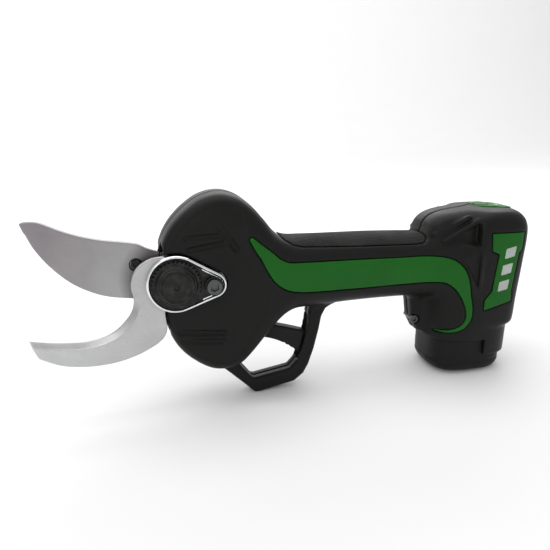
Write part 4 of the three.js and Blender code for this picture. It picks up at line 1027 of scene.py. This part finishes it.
def make_battery():
    x, length, width = BATTERY["x"], BATTERY["length"] + 1, BATTERY["width"] + 1
    grid = Grid((x - length, -width, -65), (x + length, width, -43), 0.55)
    side = pack_form(grid, 0, 3)
    heel = (BATTERY["bottom"] + 3.2 - grid.z) * 0.8 + side
    base = meet(meet(side, heel, 1.6), BATTERY["bottom"] - grid.z, 1.2)
    base = meet(base, grid.z - BATTERY["rim"] + GAP, 0.5)
    base = cut(base, np.maximum(meet(side, heel, 1.6) + 1.4, BATTERY["bottom"] + 1.6 - grid.z))
    line_groove = np.hypot(side, grid.z + 57.8) - 0.4
    base = cut(base, line_groove, 0.3)
    base = cut(base, box(grid, (187.4, -8.3, -61.6), (200, 8.3, -54.6)), 0.5)
    piece("pack_base", grid, base, BATTERY_PLASTIC, "battery", "housing_plastic", "battery_base")
    grid = Grid((x - length, -width, -45), (x + length, width, 8), 0.8)
    case = meet(pack_form(grid, 0.5, BATTERY["power"]), grid.z - BATTERY["top"], 1.5)
    case = meet(case, BATTERY["rim"] - grid.z, 0.4)
    case = cut(case, np.maximum(pack_form(grid, 1.5, BATTERY["power"]), grid.z - BATTERY["top"] + 1.6))
    for y in (-8, 8):
        rail = np.sqrt((grid.y - y) ** 2 + (np.abs(grid.x - x) - 22.2) ** 2) - 0.9
        case = cut(case, rail, 0.4)
    piece("pack_case", grid, case, BATTERY_PLASTIC, "battery", "housing_plastic", "battery_case")
    grid = Grid((186.8, -9, -62.2), (191.2, 9, -54), 0.35)
    latch = box(grid, (188, -7.6, -61.2), (189.5, 7.6, -55))
    for z in (-60, -58.1, -56.2):
        bar = np.maximum(np.sqrt((grid.x - 189.3) ** 2 + (grid.z - z) ** 2) - 0.7, np.abs(grid.y) - 6.4)
        latch = join(latch, bar, 0.3)
    piece("pack_latch", grid, latch, BLACK_PLASTIC, "latch", "housing_plastic", "battery_latch")


def make_panel_pieces():
    grid = Grid((170, -5, 23.5), (180, 5, 32), 0.25)
    radius = upright(grid, *BUTTON)
    button = meet(radius - 4, np.abs(grid.z - 29.1) - 2, 0.6)
    button = cut(button, np.sqrt(radius ** 2 + (grid.z - 43.6) ** 2) - 13, 0.2)
    button = np.minimum(button, np.maximum(radius - 2, np.abs(grid.z - 26) - 1.6))
    piece("power_key", grid, button, GREEN_PLASTIC, "button", "green_plastic", "power_button")
    grid = Grid((182, -2.5, 25), (187, 2.5, 31.5), 0.2)
    light = meet(upright(grid, *LIGHT) - 1.55, np.abs(grid.z - 28.1) - 2.2, 0.5)
    piece("status_lens", grid, light, LENS, "housing", "lens", "status_light")


# ---------- pieces that keep their CAD mesh ----------
KEPT = (
    (GEAR_STEEL, ("sector_gear", "planet_carrier", "planet_gear_1", "planet_gear_2",
                  "planet_gear_3", "ring_gear", "sun_gear", "pinion_bearing", "motor_rotor", "motor_can",
                  "trigger_magnet", "trigger_pin", "trigger_spring")),
    (ALLOY, ("gear_frame", "motor_end_cap")),
    (BRASS, ("pivot_bush", "battery_contacts")),
    (BOARD, ("panel_board", "controller_board", "trigger_sensor_board", "battery_board")),
    (CELL_WRAP, tuple(f"battery_cell_{number}" for number in range(1, 5))),
    (BLACK_PLASTIC, ("terminal_block",)),
)


def finish_kept_pieces():
    for material, names in KEPT:
        for name in names:
            materials = frame["nodes"][name].data.materials
            materials.clear()
            materials.append(material)


# ---------- floor, backdrop and light ----------


def make_stage():
    """A pale floor that sweeps up into a backdrop."""
    depth, rise, reach = 1.1, 0.7, 4
    curve = [(-reach, 0), (depth, 0)]
    curve += [
        (depth + rise * math.sin(math.radians(a)), rise - rise * math.cos(math.radians(a)))
        for a in range(10, 91, 10)
    ]
    curve.append((depth + rise, reach))
    points = [(x, y, z) for y, z in curve for x in (-reach, reach)]
    faces = [(2 * i, 2 * i + 1, 2 * i + 3, 2 * i + 2) for i in range(len(curve) - 1)]
    mesh = bpy.data.meshes.new("stage")
    mesh.from_pydata(points, [], faces)
    for polygon in mesh.polygons:
        polygon.use_smooth = True
    floor = bpy.data.objects.new("stage", mesh)
    bpy.context.scene.collection.objects.link(floor)
    look = Look("stage_paper", (0.9, 0.9, 0.9), 0.85)
    look.tint(look.noise(60, 2), (0.89, 0.89, 0.89), (0.91, 0.91, 0.91))
    floor.data.materials.append(look.material)


def make_light(name, place, size, power, aim=(0, 0, 0.05)):
    data = bpy.data.lights.new(name, "AREA")
    data.shape = "RECTANGLE"
    data.size, data.size_y = size
    data.energy = power
    light = bpy.data.objects.new(name, data)
    bpy.context.scene.collection.objects.link(light)
    light.location = place
    light.rotation_euler = (Vector(place) - Vector(aim)).to_track_quat("Z", "Y").to_euler()


def make_lights():
    world = bpy.data.worlds.new("studio")
    world.use_nodes = True
    world.node_tree.nodes["Background"].inputs["Color"].default_value = (1, 1, 1, 1)
    world.node_tree.nodes["Background"].inputs["Strength"].default_value = 0.62
    bpy.context.scene.world = world
    make_light("top_softbox", (0.0, 0.1, 0.9), (1.2, 0.8), 5)
    make_light("front_softbox", (-0.5, -0.9, 0.55), (0.7, 0.5), 1.5)
    make_light("rear_strip", (0.2, 0.7, 0.5), (1.2, 0.2), 2)
    make_light("backdrop_light", (0, 0.5, 1.2), (3, 0.6), 14, (0, 2, 0.7))


bpy.context.scene.view_settings.view_transform = "Standard"
make_stage()
make_lights()
make_housing()
make_inlays()
make_fixed_blade()
make_moving_blade()
make_cover_plate()
make_nut()
make_lock()
make_bolt()
make_screws()
make_trigger()
make_battery()
make_panel_pieces()
finish_kept_pieces()

bpy.context.view_layer.update()
